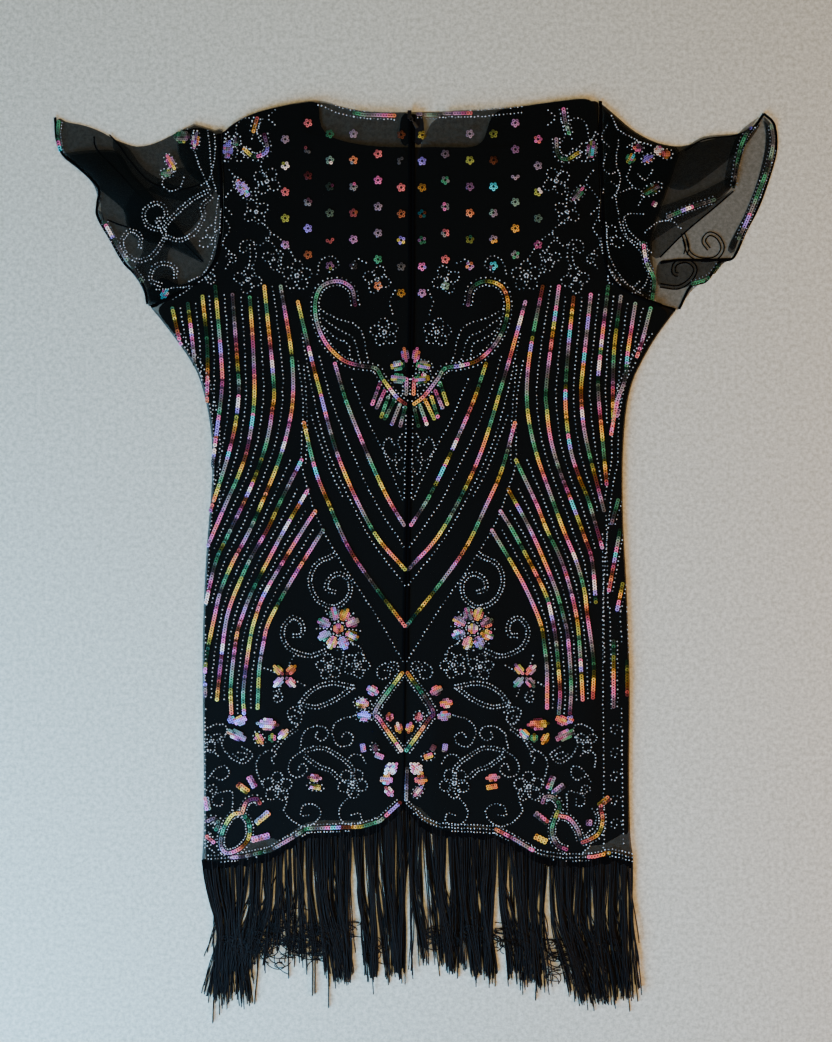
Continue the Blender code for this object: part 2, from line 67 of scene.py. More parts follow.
def linear(hexColour):
    # sRGB hex to the linear numbers that a socket takes
    value = hexColour.lstrip("#")
    parts = [int(value[k:k + 2], 16) / 255 for k in (0, 2, 4)]
    return [p / 12.92 if p <= 0.04045 else ((p + 0.055) / 1.055) ** 2.4 for p in parts] + [1.0]


def addNode(tree, kind, values=None, links=None, **fields):
    # one node with its fields, its socket values and what feeds it
    made = tree.nodes.new(kind)
    for name, value in fields.items():
        setattr(made, name, value)
    for name, value in (values or {}).items():
        made.inputs[name].default_value = value
    for name, source in (links or {}).items():
        tree.links.new(source, made.inputs[name])
    return made


def newMaterial(name, colour, **values):
    # a Principled material: keys are its sockets with _ for a space
    material = bpy.data.materials.new(name)
    material.use_nodes = True
    shader = material.node_tree.nodes["Principled BSDF"]
    shader.inputs["Base Color"].default_value = linear(colour)
    for key, value in values.items():
        shader.inputs[key.replace("_", " ")].default_value = value
    return material, material.node_tree, shader


def weave(tree, shader, cell, depth, kind="ShaderNodeTexVoronoi", strength=0.6):
    # relief of a cell in mm across, depth in mm, into the shader's normal
    spot = addNode(tree, "ShaderNodeTexCoord")
    pattern = addNode(tree, kind, {"Scale": 1 / (cell * mm)}, {"Vector": spot.outputs["Object"]})
    relief = addNode(tree, "ShaderNodeBump", {"Strength": strength, "Distance": depth * mm},
                     {"Height": pattern.outputs[0]})
    tree.links.new(relief.outputs["Normal"], shader.inputs["Normal"])


def newObject(name, points, faces, materials, slots=None, smooth=True):
    # a mesh object from millimetre points and faces of one corner count
    mesh = bpy.data.meshes.new(name)
    points = np.asarray(points, np.float32) * mm
    faces = np.asarray(faces, np.int32)
    sides = faces.shape[1]
    mesh.vertices.add(len(points))
    mesh.vertices.foreach_set("co", points.ravel())
    mesh.loops.add(faces.size)
    mesh.loops.foreach_set("vertex_index", faces.ravel())
    mesh.polygons.add(len(faces))
    mesh.polygons.foreach_set("loop_start", np.arange(0, faces.size, sides, dtype=np.int32))
    for material in materials:
        mesh.materials.append(material)
    if slots is not None:
        mesh.polygons.foreach_set("material_index", np.asarray(slots, np.int32))
    mesh.polygons.foreach_set("use_smooth", np.full(len(faces), smooth))
    mesh.update(calc_edges=True)
    made = bpy.data.objects.new(name, mesh)
    bpy.context.scene.collection.objects.link(made)
    return made


def along(table, value):
    # reads a two-column table of (place, amount), places falling or rising
    table = sorted(table)
    return np.interp(value, [row[0] for row in table], [row[1] for row in table])


def smoothPath(points, step):
    # Catmull-Rom curve through the points, with a point each step mm
    points = np.asarray(points, float)
    if len(points) > 2:
        padded = np.vstack([2 * points[0] - points[1], points, 2 * points[-1] - points[-2]])
        t = np.linspace(0, 1, curveSteps, endpoint=False)[:, None]
        runs = []
        for a, b, c, d in zip(padded, padded[1:], padded[2:], padded[3:]):
            runs.append(0.5 * (2 * b + (c - a) * t + (2 * a - 5 * b + 4 * c - d) * t ** 2
                               + (3 * b - a - 3 * c + d) * t ** 3))
        points = np.vstack(runs + [points[-1:]])
    reach = np.concatenate([[0], np.cumsum(np.linalg.norm(np.diff(points, axis=0), axis=1))])
    count = max(int(reach[-1] / step), 1)
    places = np.linspace(0, reach[-1], count + 1)
    return np.column_stack([np.interp(places, reach, points[:, k]) for k in range(2)])


def headings(path):
    # unit direction of a path at each of its points
    run = np.gradient(path, axis=0) if len(path) > 1 else np.array([[1.0, 0.0]])
    return run / np.maximum(np.linalg.norm(run, axis=1), tiny)[:, None]


def offsetPath(path, distance):
    # the path moved to its left by distance mm
    run = headings(path)
    return path + np.column_stack([-run[:, 1], run[:, 0]]) * distance


zipLine = [(490, -5), (278, -5), (58, -9), (-162, -13), (-280, -14), (-400, -14)]
shoulderLine = [(-217, 461), (-189, 481), (-156, 490), (-106, 500), (-84, 490), (-57, 485),
                (-18, 484), (-5, 486), (70, 487), (114, 491), (158, 497), (191, 501), (203, 497)]
hemLine = [(-236, -342), (-191, -339), (-160, -332), (-136, -318), (-120, -308), (-60, -306),
           (-40, -300), (-14, -276), (8, -299), (24, -306), (88, -309), (105, -318),
           (135, -336), (160, -340), (195, -339), (216, -334), (239, -340)]
leftSide = [(461, -217), (388, -214), (350, -215), (317, -223), (299, -238), (284, -264),
            (270, -293), (255, -280), (216, -251), (194, -239), (168, -232), (138, -226),
            (62, -226), (20, -230), (-75, -235), (-345, -236)]
rightSide = [(497, 203), (390, 205), (350, 206), (317, 209), (298, 217), (283, 240), (267, 286),
             (253, 275), (232, 260), (210, 248), (190, 238), (166, 232), (138, 229), (62, 227),
             (-25, 231), (-130, 235), (-345, 239)]
rolledStrip = [(100, 3), (62, 9), (20, 15), (-25, 21), (-75, 24), (-130, 26), (-314, 28),
               (-345, 31)]


def zipX(y):
    return along(zipLine, y)


def sideX(side, y):
    # edge of the flat back panel: the fold on the left, the rolled strip on the right
    if side < 0:
        return along(leftSide, y)
    return along(rightSide, y) - along(rolledStrip, y)


# low on the right the beadwork is drawn in, where the front panel rolls over the edge
drawIn = {"most": 12.0, "belowY": 60.0, "height": 120.0, "past": 130.0, "width": 90.0}


def toSide(path, side):
    # a path of (distance out from the zip line, y) put on one side
    path = np.asarray(path, float)
    out, y = path[:, 0], path[:, 1]
    if side > 0:
        down = np.clip((drawIn["belowY"] - y) / drawIn["height"], 0, 1)
        out = out - drawIn["most"] * down * np.clip((out - drawIn["past"]) / drawIn["width"], 0, 1)
    return np.column_stack([zipX(y) + side * out, y])


def place(out, y, side):
    return toSide([(out, y)], side)[0]


netCloth, tree, shader = newMaterial("black_net", "#050a08", Roughness=0.8, Alpha=0.54,
                                     Specular_IOR_Level=0.08)
# fine nylon net: half of it is holes, so the floor shows grey through two layers
weave(tree, shader, 0.9, 0.1)
liningCloth, tree, shader = newMaterial("black_satin_lining", "#06080a", Roughness=0.6,
                                        Specular_IOR_Level=0.12)
# close satin with a low sheen: reads as flat black under the net
weave(tree, shader, 0.35, 0.03, "ShaderNodeTexNoise")
tapeCloth, tree, shader = newMaterial("woven_zip_tape", "#08090a", Roughness=0.8,
                                      Specular_IOR_Level=0.2)
# ribbed polyester tape, a little greyer than the lining
weave(tree, shader, 0.8, 0.08, "ShaderNodeTexWave")

seamThread, tree, shader = newMaterial("black_seam_thread", "#030303", Roughness=0.9,
                                       Specular_IOR_Level=0.05)
# rolled and stitched edges: the deepest black, which swallows the light
weave(tree, shader, 1.2, 0.1)

wrinkles = {"height": 0.35, "length": 34.0}


def wrinkle(points):
    # slow wander of cloth that was smoothed out by hand, shared by all the layers above
    x, y = points[:, 0], points[:, 1]
    size = wrinkles["length"]
    wave = (np.sin(x / size + 1.7 * np.sin(y / size / 2.1)) + np.sin(y / size / 1.6 + x / size / 2)
            + np.sin((x - 0.6 * y) / size * 1.9))
    return wrinkles["height"] * (wave / 3 + 1) / 2


# height of the sheer gap between the lining's hem and the trim: (x, gap)
sheerGaps = [(-235, 0), (-200, 1), (-192, 12), (-175, 20), (-156, 12), (-147, 4), (-137, 10),
             (-123, 13), (-79, 11), (-53, 9), (-40, 2), (-13, 3), (-5, 9), (5, 13), (15, 9),
             (26, 2), (50, 2), (59, 8), (81, 9), (101, 7), (114, 2), (180, 3), (189, 13),
             (202, 16), (215, 14), (221, 27), (246, 27)]
liningDrop = {"from": -245.0, "above_hem": 27.0, "trim": 2.0}


def hangLining(points):
    # lets the lining's lowest rows down to the trim, but for the sheer gaps
    x, y = points[:, 0], points[:, 1]
    lowest = along(hemLine, x) + liningDrop["above_hem"]
    share = np.clip((liningDrop["from"] - y) / np.maximum(liningDrop["from"] - lowest, 1), 0, 1)
    points[:, 1] += share * (along(sheerGaps, x) + liningDrop["trim"] - liningDrop["above_hem"])


def nodeTriangles(name):
    # corner points, in mm, of a CAD node's triangles, and their unit normals
    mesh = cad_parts[name].data
    mesh.calc_loop_triangles()
    points = np.empty(len(mesh.vertices) * 3, np.float32)
    mesh.vertices.foreach_get("co", points)
    index = np.empty(len(mesh.loop_triangles) * 3, np.int32)
    mesh.loop_triangles.foreach_get("vertices", index)
    corners = points.reshape(-1, 3)[index.reshape(-1, 3)].astype(float) / mm
    normals = np.cross(corners[:, 1] - corners[:, 0], corners[:, 2] - corners[:, 0])
    normals /= np.maximum(np.linalg.norm(normals, axis=1), tiny)[:, None]
    return corners, normals


# weld distance in mm, the most that two triangles of a quad bend and skew, in degrees, and how
# many times the quads are rounded
skinning = {"weld": 0.02, "bend": 50, "skew": 70, "levels": 2}


def skin(name, corners, material, lift=0.0, shared=False):
    # one smooth single-layer cloth from kept triangles of a CAD node
    bm = bmesh.new()
    for triangle in corners:
        bm.faces.new([bm.verts.new(point) for point in triangle])
    bmesh.ops.remove_doubles(bm, verts=bm.verts, dist=skinning["weld"])
    bmesh.ops.dissolve_degenerate(bm, edges=bm.edges, dist=skinning["weld"])
    bmesh.ops.join_triangles(bm, faces=bm.faces,
                             angle_face_threshold=math.radians(skinning["bend"]),
                             angle_shape_threshold=math.radians(skinning["skew"]))
    rough = bpy.data.meshes.new(name + "_rough")
    bm.to_mesh(rough)
    bm.free()
    made = bpy.data.objects.new(name, rough)
    bpy.context.scene.collection.objects.link(made)
    made.modifiers.new("rounding", "SUBSURF").levels = skinning["levels"]
    bpy.context.view_layer.update()
    fine = bpy.data.meshes.new_from_object(made.evaluated_get(
        bpy.context.evaluated_depsgraph_get()))
    made.modifiers.clear()
    made.data = fine
    bpy.data.meshes.remove(rough)
    points = np.empty(len(fine.vertices) * 3, np.float32)
    fine.vertices.foreach_get("co", points)
    points = points.reshape(-1, 3)
    points[:, 2] += lift
    if material is liningCloth:
        hangLining(points)
    if shared:
        points[:, 2] += wrinkle(points)
    fine.vertices.foreach_set("co", (points * mm).ravel().astype(np.float32))
    fine.materials.clear()
    fine.materials.append(material)
    fine.polygons.foreach_set("use_smooth", np.full(len(fine.polygons), True))
    fine.update()
    return made


# how far a face's normal must lean up, down or sideways to count as such
lean = {"top": 0.6, "flat": 0.3, "side": 0.9}
# heights in mm that part the front net's underside, its folds and the strip rolled over
frontHeights = {"under": 0.6, "foldLow": 0.8, "foldHigh": 4.3, "over": 4.2}
sleeveUpper = 1.2  # the sleeves' upper layer is above this height


def topFaces(name):
    corners, normals = nodeTriangles(name)
    return corners[normals[:, 2] > lean["top"]]


def frontFaces():
    # the front net's outer face: the underside, the fold at each side and the rolled strip
    corners, normals = nodeTriangles("front_net")
    centre = corners.mean(axis=1)
    height = centre[:, 2]
    under = (normals[:, 2] < -lean["flat"]) & (height < frontHeights["under"])
    fold = ((np.abs(normals[:, 0]) > lean["side"]) & (normals[:, 0] * centre[:, 0] > 0)
            & (height > frontHeights["foldLow"]) & (height < frontHeights["foldHigh"]))
    over = (normals[:, 2] > lean["flat"]) & (height > frontHeights["over"])
    return corners[under | fold | over]


def sleeveFaces(name):
    # both layers of a sleeve by their outer faces
    corners, normals = nodeTriangles(name)
    centre = corners.mean(axis=1)
    solid = BVHTree.FromPolygons([Vector(p) for p in corners.reshape(-1, 3)],
                                 np.arange(len(corners) * 3).reshape(-1, 3).tolist())
    kept = []
    for k in range(len(corners)):
        up = normals[k, 2] > 0
        start = Vector(centre[k]) + Vector((0, 0, 0.05 if up else -0.05))
        blocked = solid.ray_cast(start, Vector((0, 0, 1 if up else -1)))[0] is not None
        steep = abs(normals[k, 2]) < lean["flat"]
        kept.append(not blocked and not steep and (not up or centre[k, 2] > sleeveUpper))
    return corners[np.array(kept)]


print("stage: cloth skins")
backNets = {side: skin(f"back_net_cloth_{side}", topFaces(f"back_net_{side}"), netCloth,
                       shared=True) for side in ("left", "right")}
backLinings = {side: skin(f"back_lining_cloth_{side}", topFaces(f"back_lining_{side}"),
                          liningCloth, shared=True) for side in ("left", "right")}
zipTapes = {side: skin(f"zip_tape_cloth_{side}", topFaces(f"zip_tape_{side}"), tapeCloth,
                       shared=True) for side in ("left", "right")}
frontNet = skin("front_net_cloth", frontFaces(), netCloth, lift=0.3)
frontLining = skin("front_lining_cloth", topFaces("front_lining"), liningCloth)
sleeves = {side: skin(f"sleeve_cloth_{side}", sleeveFaces(f"sleeve_{side}"), netCloth, lift=0.3)
           for side in ("left", "right")}

# the cloths that beadwork and seams can lie on, as one tree
seatPoints, seatFaces = [], []
for cloth in [*backNets.values(), *sleeves.values(), *zipTapes.values(), frontNet]:
    start = len(seatPoints)
    seatPoints += (np.array([v.co[:] for v in cloth.data.vertices]) / mm).tolist()
    seatFaces += [[k + start for k in p.vertices] for p in cloth.data.polygons]
seatTree = BVHTree.FromPolygons(seatPoints, seatFaces)
aboveAll = 60.0


def seat(x, y):
    # height and upward normal of the top cloth at a place, or None beside the dress
    hit = seatTree.ray_cast(Vector((x, y, aboveAll)), Vector((0, 0, -1)))
    if hit[0] is None:
        return None
    normal = hit[1] if hit[1].z > 0 else -hit[1]
    return hit[0].z, normal


sequins = {"radius": 2.2, "hole": 0.9, "cup": 0.25, "pitch": 2.85, "lift": 0.7, "tilt": 6.0,
           "scatter": 3.5}
# petals also give the chance of painted highlight runs, the centre of the painted light level and
# the share of bright painted sequins in a flash-hue petal
petals = {"chain": 2.5, "pitch": 2.0, "size": 0.8, "point": 1.6, "tilt": 12, "lift": 0.1,
          "stagger": 0.15, "paintedFlashes": 0.05, "paintedGleam": 0.62, "pure": 0.6, "border": (2.0, 1.8)}
beads = {"radius": 0.82, "pitch": 4.6, "vinePitch": 3.3, "widePitch": 4.2, "sizes": (0.8, 1.12),
         "jitter": 0.25}
# how a run of sequins changes: the chance that its hue turns back, the step of the hue, and the
# spread, wander and pull back of its painted light level
drift = {"turnBack": 0.03, "hueStep": (0.1, 0.75), "spread": 0.25, "wander": 0.22, "pull": 0.12}
# hues of the painted highlights: short runs of the bright copy that stand in for glints
paintedFlashHues = ["cyan", "violet", "white", "white"]
loops = {"open": 0.3, "reach": 1.08, "width": 0.78}

# iridescent foil in the order in which a run of sequins turns from hue to hue, then the hues that
# flash out for a few sequins at a time, used as painted highlights
foils = [
    ("foil_bottle_green", "#2f6a55"), ("foil_green", "#3f9a76"), ("foil_sage", "#74998f"),
    ("foil_grey", "#7b7f88"), ("foil_lilac_grey", "#8c7f9a"), ("foil_mauve", "#b283bd"),
    ("foil_pink", "#e070b8"), ("foil_rose", "#e0747e"), ("foil_coral", "#e28a60"),
    ("foil_orange_gold", "#e8ac4a"), ("foil_gold", "#ead65c"), ("foil_olive_gold", "#9cab50"),
    ("foil_cyan", "#45dcf5"), ("foil_violet", "#9b8cff"), ("foil_white", "#fff6fa"),
    ("foil_plum", "#5a3a52"),
]
hueNumber = {name[5:]: k for k, (name, colour) in enumerate(foils)}
runHues = 12
pinkHues = (4, 8)
# painted light and shade: a shaded, a dim and a bright copy of each foil, with the share of its
# colour and specular that each keeps
paintedFoilLevels = [("painted_shade", 0.12), ("painted_dim", 0.42), ("bright", 1.0)]
# shares of painted light at which a sequin takes the dim and the bright copy
dimFrom, brightFrom = 0.16, 0.44
brightest = len(foils) * (len(paintedFoilLevels) - 1)
foilMaterials = []
for level, share in paintedFoilLevels:
    for name, colour in foils:
        # mirror-like foil behind a clear film: each disc flashes as one flat spot. Its colour and
        # specular are scaled by the level's share: painted light and shade.
        material, tree, shader = newMaterial(f"{name}_{level}", colour, Metallic=0.6,
                                             Roughness=0.3, Specular_IOR_Level=0.5 * share)
        pure = linear(colour)
        shader.inputs["Base Color"].default_value = [c * share for c in pure[:3]] + [1.0]
        foilMaterials.append(material)
beadGlass, tree, shader = newMaterial("silver_lined_bead", "#f4f2ea", Metallic=0.3, Roughness=0.2)
# silver behind glass: a pale point with a hard highlight
paintedShadeGlass, tree, shader = newMaterial("bead_glass_painted_shade", "#8a8c88", Metallic=0.3, Roughness=0.25)
# beads that look aside: the same glass, greyer, as painted shade


def ringMesh(rings, sides):
    # discs and beads: rings of (radius, height), joined by quads cut into triangles
    points = []
    for radius, height in rings:
        for k in range(sides):
            angle = 2 * math.pi * k / sides
            points.append((radius * math.cos(angle), radius * math.sin(angle), height))
    faces = []
    for r in range(len(rings) - 1):
        for k in range(sides):
            a, b = r * sides + k, r * sides + (k + 1) % sides
            c, d = b + sides, a + sides
            faces += [(a, b, c), (a, c, d)]
    return np.array(points), np.array(faces)


sequinShape = ringMesh([(sequins["radius"], 0.0), (sequins["radius"] * 0.72, sequins["cup"]),
                        (sequins["hole"], 0.0)], 8)
sequinShape = (sequinShape[0], sequinShape[1][:, ::-1])
ball = beads["radius"]
beadShape = ringMesh([(ball * 0.75, -ball * 0.5), (ball, 0.0), (ball * 0.7, ball * 0.6),
                      (0.1, ball * 0.8)], 6)
sequinPlaces, beadPlaces = [], []


def basis(normal, heading):
    # a frame that lies on the cloth, its first axis along the heading
    z = np.array(normal)
    x = np.array([heading[0], heading[1], 0.0])
    x -= z * x.dot(z)
    x /= max(np.linalg.norm(x), tiny)
    return np.column_stack([x, np.cross(z, x), z])


def turned(axes, about, degrees):
    # the frame turned about its own first (0) or second (1) axis
    c, s = math.cos(math.radians(degrees)), math.sin(math.radians(degrees))
    turn = np.array([[1, 0, 0], [0, c, -s], [0, s, c]]) if about == 0 else np.array(
        [[c, 0, s], [0, 1, 0], [-s, 0, c]])
    return axes @ turn


def addSequin(x, y, heading, tone, size=1.0, tilt=None, lift=0.0):
    found = seat(x, y)
    if found is None:
        return
    z, normal = found
    axes = basis(normal, heading)
    axes = turned(axes, 1, (sequins["tilt"] if tilt is None else tilt)
                  + dice.normal(0, sequins["scatter"]))
    axes = turned(axes, 0, dice.normal(0, sequins["scatter"]))
    sequinPlaces.append(((x, y, z + sequins["lift"] + lift), axes, size, tone))


def addBead(x, y, paintedShadeShare):
    found = seat(x, y)
    if found is None:
        return
    z, normal = found
    size = dice.uniform(*beads["sizes"])
    # a share of the beads take the greyer copy of the glass: painted shade
    paintedDark = int(dice.random() < paintedShadeShare)
    beadPlaces.append(((x, y, z + beads["radius"] * 0.6), basis(normal, (1, 0)), size, paintedDark))


def levelOf(light):
    # painted light level number for a share of light between 0 and 1
    return int(light > dimFrom) + int(light > brightFrom)


def tones(count, start, paintedFlashes, paintedGleam, last):
    # material number of each sequin of a run: it drifts round the hues, or to and fro up to the
    # last one allowed, with short painted highlights; its painted light level wanders round the
    # given centre
    position, way = start, dice.choice([-1, 1])
    found, flash = [], []
    light = paintedGleam + dice.normal(0, drift["spread"])
    for _ in range(count):
        if dice.random() < drift["turnBack"]:
            way = -way
        position += way * dice.uniform(*drift["hueStep"])
        if last < runHues and not 0 <= position < last:
            way = -way
            position = min(max(position, 0), last - 0.01)
        position %= runHues
        light += dice.normal(0, drift["wander"]) + drift["pull"] * (paintedGleam - light)
        light = min(max(light, 0.0), 1.0)
        # a short painted highlight run of pink, a flash hue and violet, all at the bright level
        if not flash and dice.random() < paintedFlashes:
            middle = hueNumber[dice.choice(paintedFlashHues)]
            flash = ([hueNumber["violet"]] * dice.integers(1, 3) + [middle] * dice.integers(2, 5)
                     + [hueNumber["pink"]] * dice.integers(1, 3))
        if flash:
            found.append(flash.pop() + brightest)
        else:
            found.append(int(position) + len(foils) * levelOf(light))
    return found


def sequinRow(points, start=None, clip=None, paintedFlashes=0.02, paintedGleam=0.5, last=runHues):
    path = smoothPath(points, sequins["pitch"])
    start = dice.uniform(0, runHues) if start is None else start
    hues = tones(len(path), start, paintedFlashes, paintedGleam, last)
    for (x, y), heading, hue in zip(path, headings(path), hues):
        if clip is None or clip(x, y):
            addSequin(x, y, heading, hue)


def beadRow(points, pitch=None, clip=None, shift=0.0, paintedShadeShare=0.3):
    path = smoothPath(points, pitch or beads["pitch"])
    if shift:
        path = offsetPath(path, shift)
    for x, y in path:
        jitter = dice.normal(0, beads["jitter"], 2)
        if clip is None or clip(x, y):
            addBead(x + jitter[0], y + jitter[1], paintedShadeShare)


def petal(x, y, length, width, angle, hue, outline=True):
    # a leaf of close chains of sequins side by side, the middle one the longest, with a
    # line of beads round it
    direction = np.array([math.cos(math.radians(angle)), math.sin(math.radians(angle))])
    across = np.array([-direction[1], direction[0]])
    chains = max(int(round(width / petals["chain"])), 1)
    for c in range(chains):
        off = (c - (chains - 1) / 2) * petals["chain"]
        half = length / 2 * max(1 - abs(off) / (width / 2 + petals["point"]), 0.15)
        half = max(half - sequins["radius"] * 0.5, 0.5)
        count = max(int(round(2 * half / petals["pitch"])) + 1, 1)
        pure = hueNumber[hue] >= runHues
        start = (dice.uniform(*pinkHues) if pure
                 else (hueNumber[hue] + dice.normal(0, 0.7)) % runHues)
        hues = tones(count, start, petals["paintedFlashes"], petals["paintedGleam"], runHues)
        # a petal in one of the hues after the run hues: this share of its sequins takes that hue's
        # bright copy, a painted highlight
        if pure:
            hues = [hueNumber[hue] + brightest if dice.random() < petals["pure"] else other
                    for other in hues]
        for step, tone in zip(np.linspace(-half, half, count) if count > 1 else [0.0], hues):
            spot = (x, y) + direction * step + across * off
            addSequin(*spot, direction, tone, petals["size"], petals["tilt"],
                      petals["lift"] + petals["stagger"] * (c % 2))
    if outline:
        turn = np.linspace(0, 2 * math.pi, 40)
        endMargin, sideMargin = petals["border"]
        ring = (np.array([x, y]) + np.outer(np.cos(turn), direction) * (length / 2 + endMargin)
                + np.outer(np.sin(turn), across) * (width / 2 + sideMargin))
        beadRow(ring, beads["widePitch"])


def clover(x, y, radius, count, turn, pitch):
    # bead loops that stand round a middle, each as long as the whole flower's radius
    for k in range(count):
        angle = math.radians(turn) + 2 * math.pi * k / count
        out = np.array([math.cos(angle), math.sin(angle)])
        side = np.array([-out[1], out[0]])
        step = np.linspace(math.pi + loops["open"], 3 * math.pi - loops["open"], 24)
        loop = (np.array([x, y]) + np.outer(loops["reach"] + np.cos(step), out) * radius
                + np.outer(np.sin(step), side) * radius * loops["width"])
        beadRow(loop, pitch)


def spiral(x, y, radius, start, turns):
    # bead curl from its outside end inwards
    step = np.linspace(0, 1, 30)
    angle = math.radians(start) + step * turns * 2 * math.pi
    size = radius * (1 - 0.8 * step)
    return np.column_stack([x + size * np.cos(angle), y + size * np.sin(angle)])


# side stripes of sequins: (distance out, y) points from the top down
stripes = [
    [(263, 268), (253, 228), (240, 190), (228, 150)],
    [(246, 273), (239, 222), (236, 190), (228, 165), (222, 130)],
    [(230, 281), (224, 228), (223, 182), (224, 143)],
    [(216, 292), (208, 211), (207, 177), (213, 121), (218, 75)],
    [(197, 283), (190, 205), (188, 177), (191, 142), (197, 113), (205, 84), (217, 46)],
    [(178, 280), (173, 221), (171, 166), (177, 116), (187, 84), (199, 56), (220, 5)],
    [(162, 292), (150, 187), (151, 156), (156, 123), (166, 90), (179, 58), (198, 17), (210, -10),
     (220, -55)],
    [(144, 292), (133, 232), (129, 197), (129, 163), (134, 132), (142, 103), (153, 73), (173, 25),
     (191, -10), (204, -42), (210, -69), (219, -120), (219, -160)],
    [(118, 101), (141, 54), (154, 25), (171, -5), (184, -34), (194, -61), (199, -86), (204, -137),
     (206, -162)],
    [(110, 69), (134, 27), (154, -12), (170, -44), (180, -71), (186, -94), (191, -145),
     (190, -177)],
    [(102, 45), (119, 18), (154, -42), (165, -71), (171, -98), (177, -151), (176, -177)],
    [(93, 24), (127, -32), (150, -76), (156, -101), (160, -129), (161, -171)],
]
outerBeads = [[(124, 210), (119, 180), (117, 150), (118, 101), (110, 69), (102, 45), (93, 24),
               (70, -14), (33, -69), (0, -124)],
              [(117, 205), (114, 170), (112, 130), (113, 98)]]
# V lines of sequins that run down to the zip
chevrons = [
    [(83, 207), (68, 161), (42, 100), (22, 59), (4, 30)],
    [(125, 275), (114, 232), (101, 184), (76, 101), (38, 24), (2, -19)],
    [(116, 142), (102, 89), (86, 51), (65, 6), (39, -32), (1, -81)],
]
chevronBeads = [
    [(64, 190), (48, 150), (30, 115), (20, 92), (6, 58)],
    [(100, 215), (84, 161), (58, 100), (34, 52), (3, 6)],
    [(120, 240), (108, 180), (92, 120), (66, 62), (40, 14), (2, -36)],
    [(108, 150), (88, 95), (72, 62)],
    [(4, 150), (4, 60)],
]
scroll = [(62, 272), (66, 290), (81, 298), (99, 292), (106, 274), (103, 250), (92, 228), (74, 211),
          (55, 205), (38, 202), (30, 190), (15, 171), (5, 163)]
fanBars = [(33, 186, 41, 163), (28, 177, 36, 159), (24, 170, 31, 149), (17, 167, 27, 147),
           (11, 162, 19, 141), (5, 159, 10, 139)]
leafArcs = [
    [(100, 267), (82, 257), (63, 251), (53, 240), (49, 221), (46, 210)],
    [(97, 257), (79, 244), (63, 235), (57, 215), (55, 208)],
    [(95, 246), (82, 235), (69, 229), (66, 213)],
]
clearOfEdge = {-1: 1.0, 1: 5.0}
# bead rows down each side: inset from the edge, and how many of the heights they run
sideRows = [(3.5, 60), (10.0, 20)]
sideHeights = np.linspace(240, -325, 60)
greenStripes = 4  # outermost on the left, where the foil looks greener and dimmer


def inside(side):
    # a test of whether a place is clear of the side's edge
    def test(x, y):
        return side * x < side * sideX(side, y) - clearOfEdge[side]
    return test


def midway(first, second, side):
    # the line between two stripes, by height
    top = min(first[0][1], second[0][1])
    low = max(first[-1][1], second[-1][1])
    heights = np.linspace(top, low, 24)
    out = [(along([(y, dx) for dx, y in first], y) + along([(y, dx) for dx, y in second], y)) / 2
           for y in heights]
    return toSide(np.column_stack([out, heights]), side)


print("stage: stripes")
for side in (-1, 1):
    clip = inside(side)
    for number, line in enumerate(stripes):
        greener = side < 0 and number < greenStripes
        # the greener stripes are painted dimmer: their painted light level centres lower
        sequinRow(toSide(line, side), dice.uniform(0, 3 if greener else runHues),
                  clip=clip, paintedGleam=0.35 if greener else 0.55)
    for first, second in zip(stripes, stripes[1:]):
        beadRow(midway(first, second, side), clip=clip)
    for row in outerBeads + chevronBeads:
        beadRow(toSide(row, side))
    for inset, count in sideRows:
        beadRow([(sideX(side, y) - side * inset, y) for y in sideHeights[:count]])
    for line in chevrons:
        sequinRow(toSide(line, side), dice.uniform(5, 10), paintedGleam=0.55)
    sequinRow(toSide(scroll, side), dice.uniform(0, 9), paintedGleam=0.4)
    for shift in (4.4, -4.4):
        beadRow(toSide(scroll, side), shift=shift)
    for x1, y1, x2, y2 in fanBars:
        sequinRow(toSide([(x1, y1), (x2, y2)], side), dice.uniform(0, 12), paintedFlashes=0.05)
    for arc in leafArcs:
        beadRow(toSide(arc, side), beads["widePitch"])

# sequin flowers sown over the yoke: (distance out, top y, bottom y)
flowerColumns = [(11.5, 459, 268), (37, 438, 277), (64, 460, 309), (90, 460, 313),
                 (114, 472, 322), (139, 454, 332)]
flower = {"pitch": 29.0, "reach": 3.1, "size": 0.84}


def sequinFlower(x, y, hue):
    turn = dice.uniform(0, 2 * math.pi)
    other = hue if dice.random() < 0.6 else dice.choice(list(hueNumber.values()))
    # one painted light level for the whole flower, drawn at random
    level = len(foils) * levelOf(dice.beta(2.0, 1.4))
    for k in range(5 if dice.random() < 0.9 else 3):
        angle = turn + 2 * math.pi * k / 5
        way = (math.cos(angle), math.sin(angle))
        addSequin(x + flower["reach"] * way[0], y + flower["reach"] * way[1], way,
                  (other if dice.random() < 0.3 else hue) + level, flower["size"])


print("stage: flowers and motifs")
flowerHues = ["sage", "green", "rose", "mauve", "gold", "orange_gold", "pink", "grey", "violet",
              "lilac_grey", "cyan", "coral", "olive_gold", "sage", "rose"]
for side in (-1, 1):
    for out, top, low in flowerColumns:
        y = top
        while y > low - 5:
            sequinFlower(zipX(y) + side * out, y, hueNumber[dice.choice(flowerHues)])
            y -= flower["pitch"]

